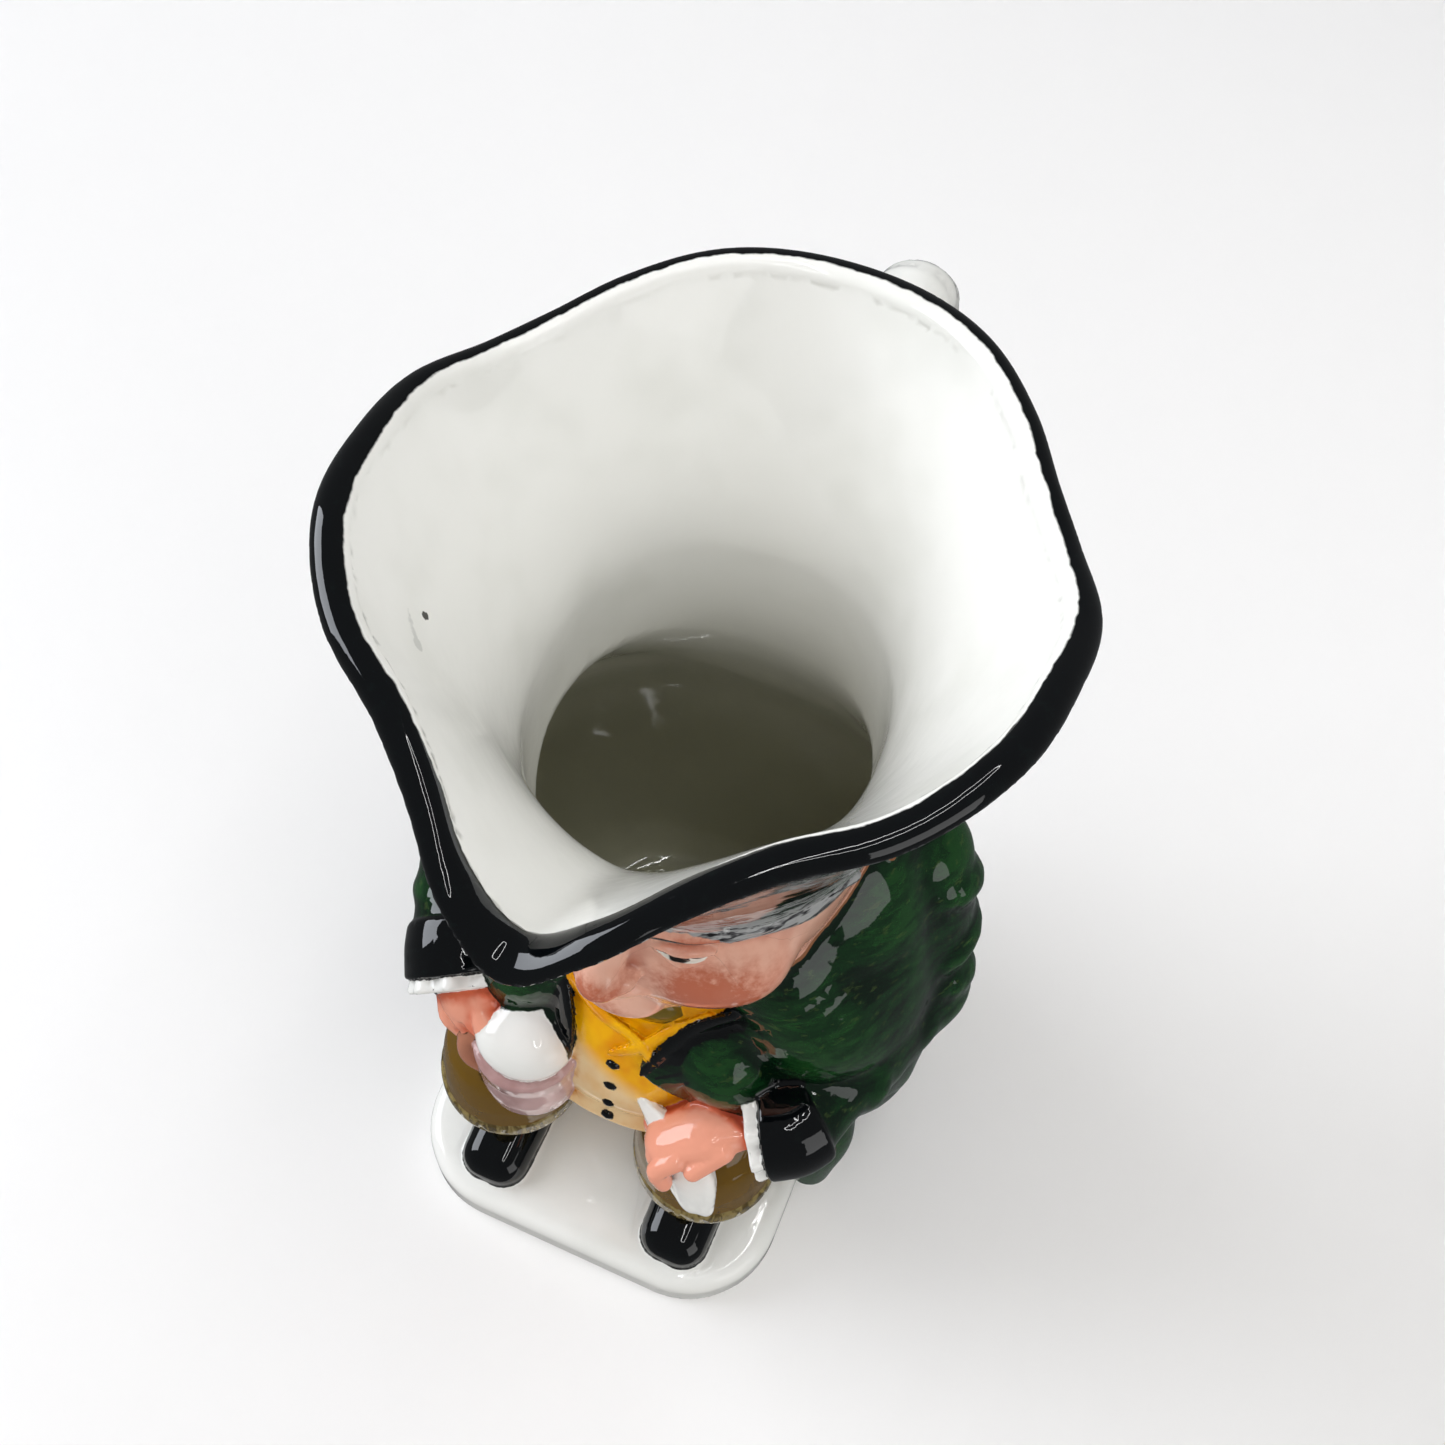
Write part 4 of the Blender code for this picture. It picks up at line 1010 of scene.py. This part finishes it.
# Three buttonholes on the coat's front, laid on from above
FROM_ABOVE, FROM_WITHIN = (0.11, -0.31, 0.94), (0.8, 0.55, 0.2)
BUTTONHOLES = (((7.2, -31.3, 62.0), (10.2, -29.4, 62.5)), ((9.0, -32.1, 62.0), (11.7, -30.2, 62.5)),
               ((10.2, -33.2, 62.0), (12.8, -31.5, 62.5)))
on_coat = brushed("coat", 0.1)
for begin, finish in BUTTONHOLES:
    colour = over(colour, times(on_coat, stroke(begin, finish, 0.24, FROM_ABOVE, 0.05)), "#040607")

# The inside stays white, with painted shade deep down: a greyer, greener white that stands for the dim
# bottom of the jug. There is a speck and a smudge of kiln dirt near the lip. The black of the hat stops on the lip.
painted_depth_shade = ramp(height, 0.120, 0.045)
white = over(white, times(painted_depth_shade, ramp(field("lip_side"), -0.5, -2.0)), "#B6B49C")
white = over(white, stroke((-26.0, -18.0, 140.0), (-26.2, -18.3, 140.2), 0.5, FROM_WITHIN, 0.2), "#2A2622")
smudge = stroke((-29.5, -22.5, 142.0), (-27.0, -24.5, 141.0), 1.0, FROM_WITHIN, 0.2)
white = over(white, times(smudge, 0.35), "#8E908C")
lip_edge = add(times(waver, 0.9), field("lip_edge"))
inside = ramp(maths("SUBTRACT", lip_edge, field("lip_side")), -0.14, 0.14)
colour = over(colour, inside, white)
tree.links.new(colour, surface.inputs["Base Color"])

# Slight waves in the glaze, a tenth of a millimetre at most
waves = noise(5.0, detail=2)
bump_node = add_node(tree, "ShaderNodeBump", Strength=0.25, Distance=0.00025, Height=add(waves, times(fleck, 0.04)))
tree.links.new(bump_node.outputs[0], surface.inputs["Coat Normal"])
tree.links.new(bump_node.outputs[0], surface.inputs["Normal"])
for name, value in (("Roughness", 0.5), ("Specular IOR Level", 0.0), ("IOR", 1.5), ("Coat Weight", 1.0),
                    ("Coat Roughness", 0.035), ("Coat IOR", 1.52)):
    surface.inputs[name].default_value = value
mesh.materials.clear()
mesh.materials.append(paint)
print("glaze nodes:", len(tree.nodes))

# %% [markdown]
# ## Studio
# A pale table, soft light from a window on the left and from the ceiling, a white card on the right that
# shows in the glaze of the sleeve, and a lamp whose long loop shows in the rim and the cuff.


# %% Table
def plain_material(name, **values):
    """A material with plain values on its shader's sockets, by name."""
    material = bpy.data.materials.new(name)
    material.use_nodes = True
    for socket, value in values.items():
        material.node_tree.nodes["Principled BSDF"].inputs[socket.replace("_", " ")].default_value = value
    return material


table = bpy.data.meshes.new("table")
table.from_pydata([(-1.6, -1.6, 0), (1.6, -1.6, 0), (1.6, 1.6, 0), (-1.6, 1.6, 0)], [], [(0, 1, 2, 3)])
table_top = shown(bpy.data.objects.new("table_top", table))
table_top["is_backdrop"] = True
# A board with a coat of white satin paint
table.materials.append(plain_material("white painted table", Base_Color=linear("#F4F2F0"), Roughness=0.5))
print("table laid")


# %% Lights
def panel(name, at, towards, size, watts, colour="#FFFFFF"):
    """A soft rectangular light at a place, aimed at another."""
    lamp = bpy.data.lights.new(name, "AREA")
    lamp.shape = "RECTANGLE"
    lamp.size, lamp.size_y = size
    lamp.energy = watts
    lamp.color = linear(colour)[:3]
    thing = shown(bpy.data.objects.new(name, lamp))
    thing.location = at
    thing.rotation_euler = (Vector(towards) - Vector(at)).to_track_quat("-Z", "Y").to_euler()
    return thing


panel("window", (-1.9, -0.1, 1.2), (0, 0, 0.08), (1.5, 1.35), 36.0, "#F2F7FF")
sky = panel("ceiling", (0.1, -0.1, 1.5), (0, 0, 0.05), (4.2, 4.2), 37.0)
sky.visible_glossy = False
panel("side_card", (0.95, -0.5, 0.36), (0, 0, 0.08), (0.7, 0.7), 2.2)
table_top.visible_glossy = False  # as black cards laid round the jug would keep the table out of the glaze
world = bpy.data.worlds.new("room")
world.use_nodes = True
world.node_tree.nodes["Background"].inputs["Color"].default_value = linear("#F2F4F6")
world.node_tree.nodes["Background"].inputs["Strength"].default_value = 0.16
bpy.context.scene.world = world

# %% Loop lamp
# The lit glass tube of a lamp
tube_light = plain_material("lit tube", Emission_Color=linear("#FFFFFF"), Emission_Strength=22.0)


def loop_lamp(name, middle, half_x, half_y, thick=0.006, steps=96, sides=10):
    """A lit tube bent to a long rounded loop: |x/half_x|^4.4 + |y/half_y|^4.4 = 1 round its middle."""
    turn = full_turn(steps)
    around = full_turn(sides)
    out_x = np.sign(np.cos(turn)) * np.abs(np.cos(turn)) ** 0.45 * half_x
    out_y = np.sign(np.sin(turn)) * np.abs(np.sin(turn)) ** 0.45 * half_y
    rows = np.stack([middle[0] + out_x[:, None] + thick * np.cos(around) * np.cos(turn)[:, None],
                     middle[1] + out_y[:, None] + thick * np.cos(around) * np.sin(turn)[:, None],
                     middle[2] + thick * np.sin(around) + 0 * turn[:, None]], axis=-1)
    i, j = np.meshgrid(np.arange(steps), np.arange(sides), indexing="ij")
    ahead, over_one = (i + 1) % steps * sides, (j + 1) % sides
    quads = np.stack([i * sides + j, ahead + j, ahead + over_one, i * sides + over_one], axis=-1).reshape(-1, 4)
    tube = bpy.data.meshes.new(name)
    tube.from_pydata(rows.reshape(-1, 3).tolist(), [], quads.tolist())
    tube.materials.append(tube_light)
    shown(bpy.data.objects.new(name, tube))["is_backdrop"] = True


loop_lamp("loop_lamp", (0.16, -0.02, 0.78), 0.075, 0.30)
print("loop lamp hung")

# %% Camera
# Its pose was worked out from features that lie left and right alike: metres, and degrees of each turn
CAMERA_AT = (0.03202, -0.09088, 0.26430)
CAMERA_TURNS = ((18.34, "Z"), (90 - 58.11, "X"), (5.31, "Z"))
camera_data = bpy.data.cameras.new("camera")
camera_data.lens = 35.43
camera_data.sensor_width = 36.0
camera = shown(bpy.data.objects.new("camera", camera_data))
yaw, pitch, roll = (Matrix.Rotation(math.radians(degrees), 4, axis) for degrees, axis in CAMERA_TURNS)
camera.matrix_world = Matrix.Translation(CAMERA_AT) @ (yaw @ pitch @ roll)
bpy.context.scene.camera = camera
bpy.context.scene.view_settings.view_transform = "Standard"

# %% Sizes and finish
low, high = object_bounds()
print("dressed model, mm:", [round(1000 * (b - a), 1) for a, b in zip(low, high)])
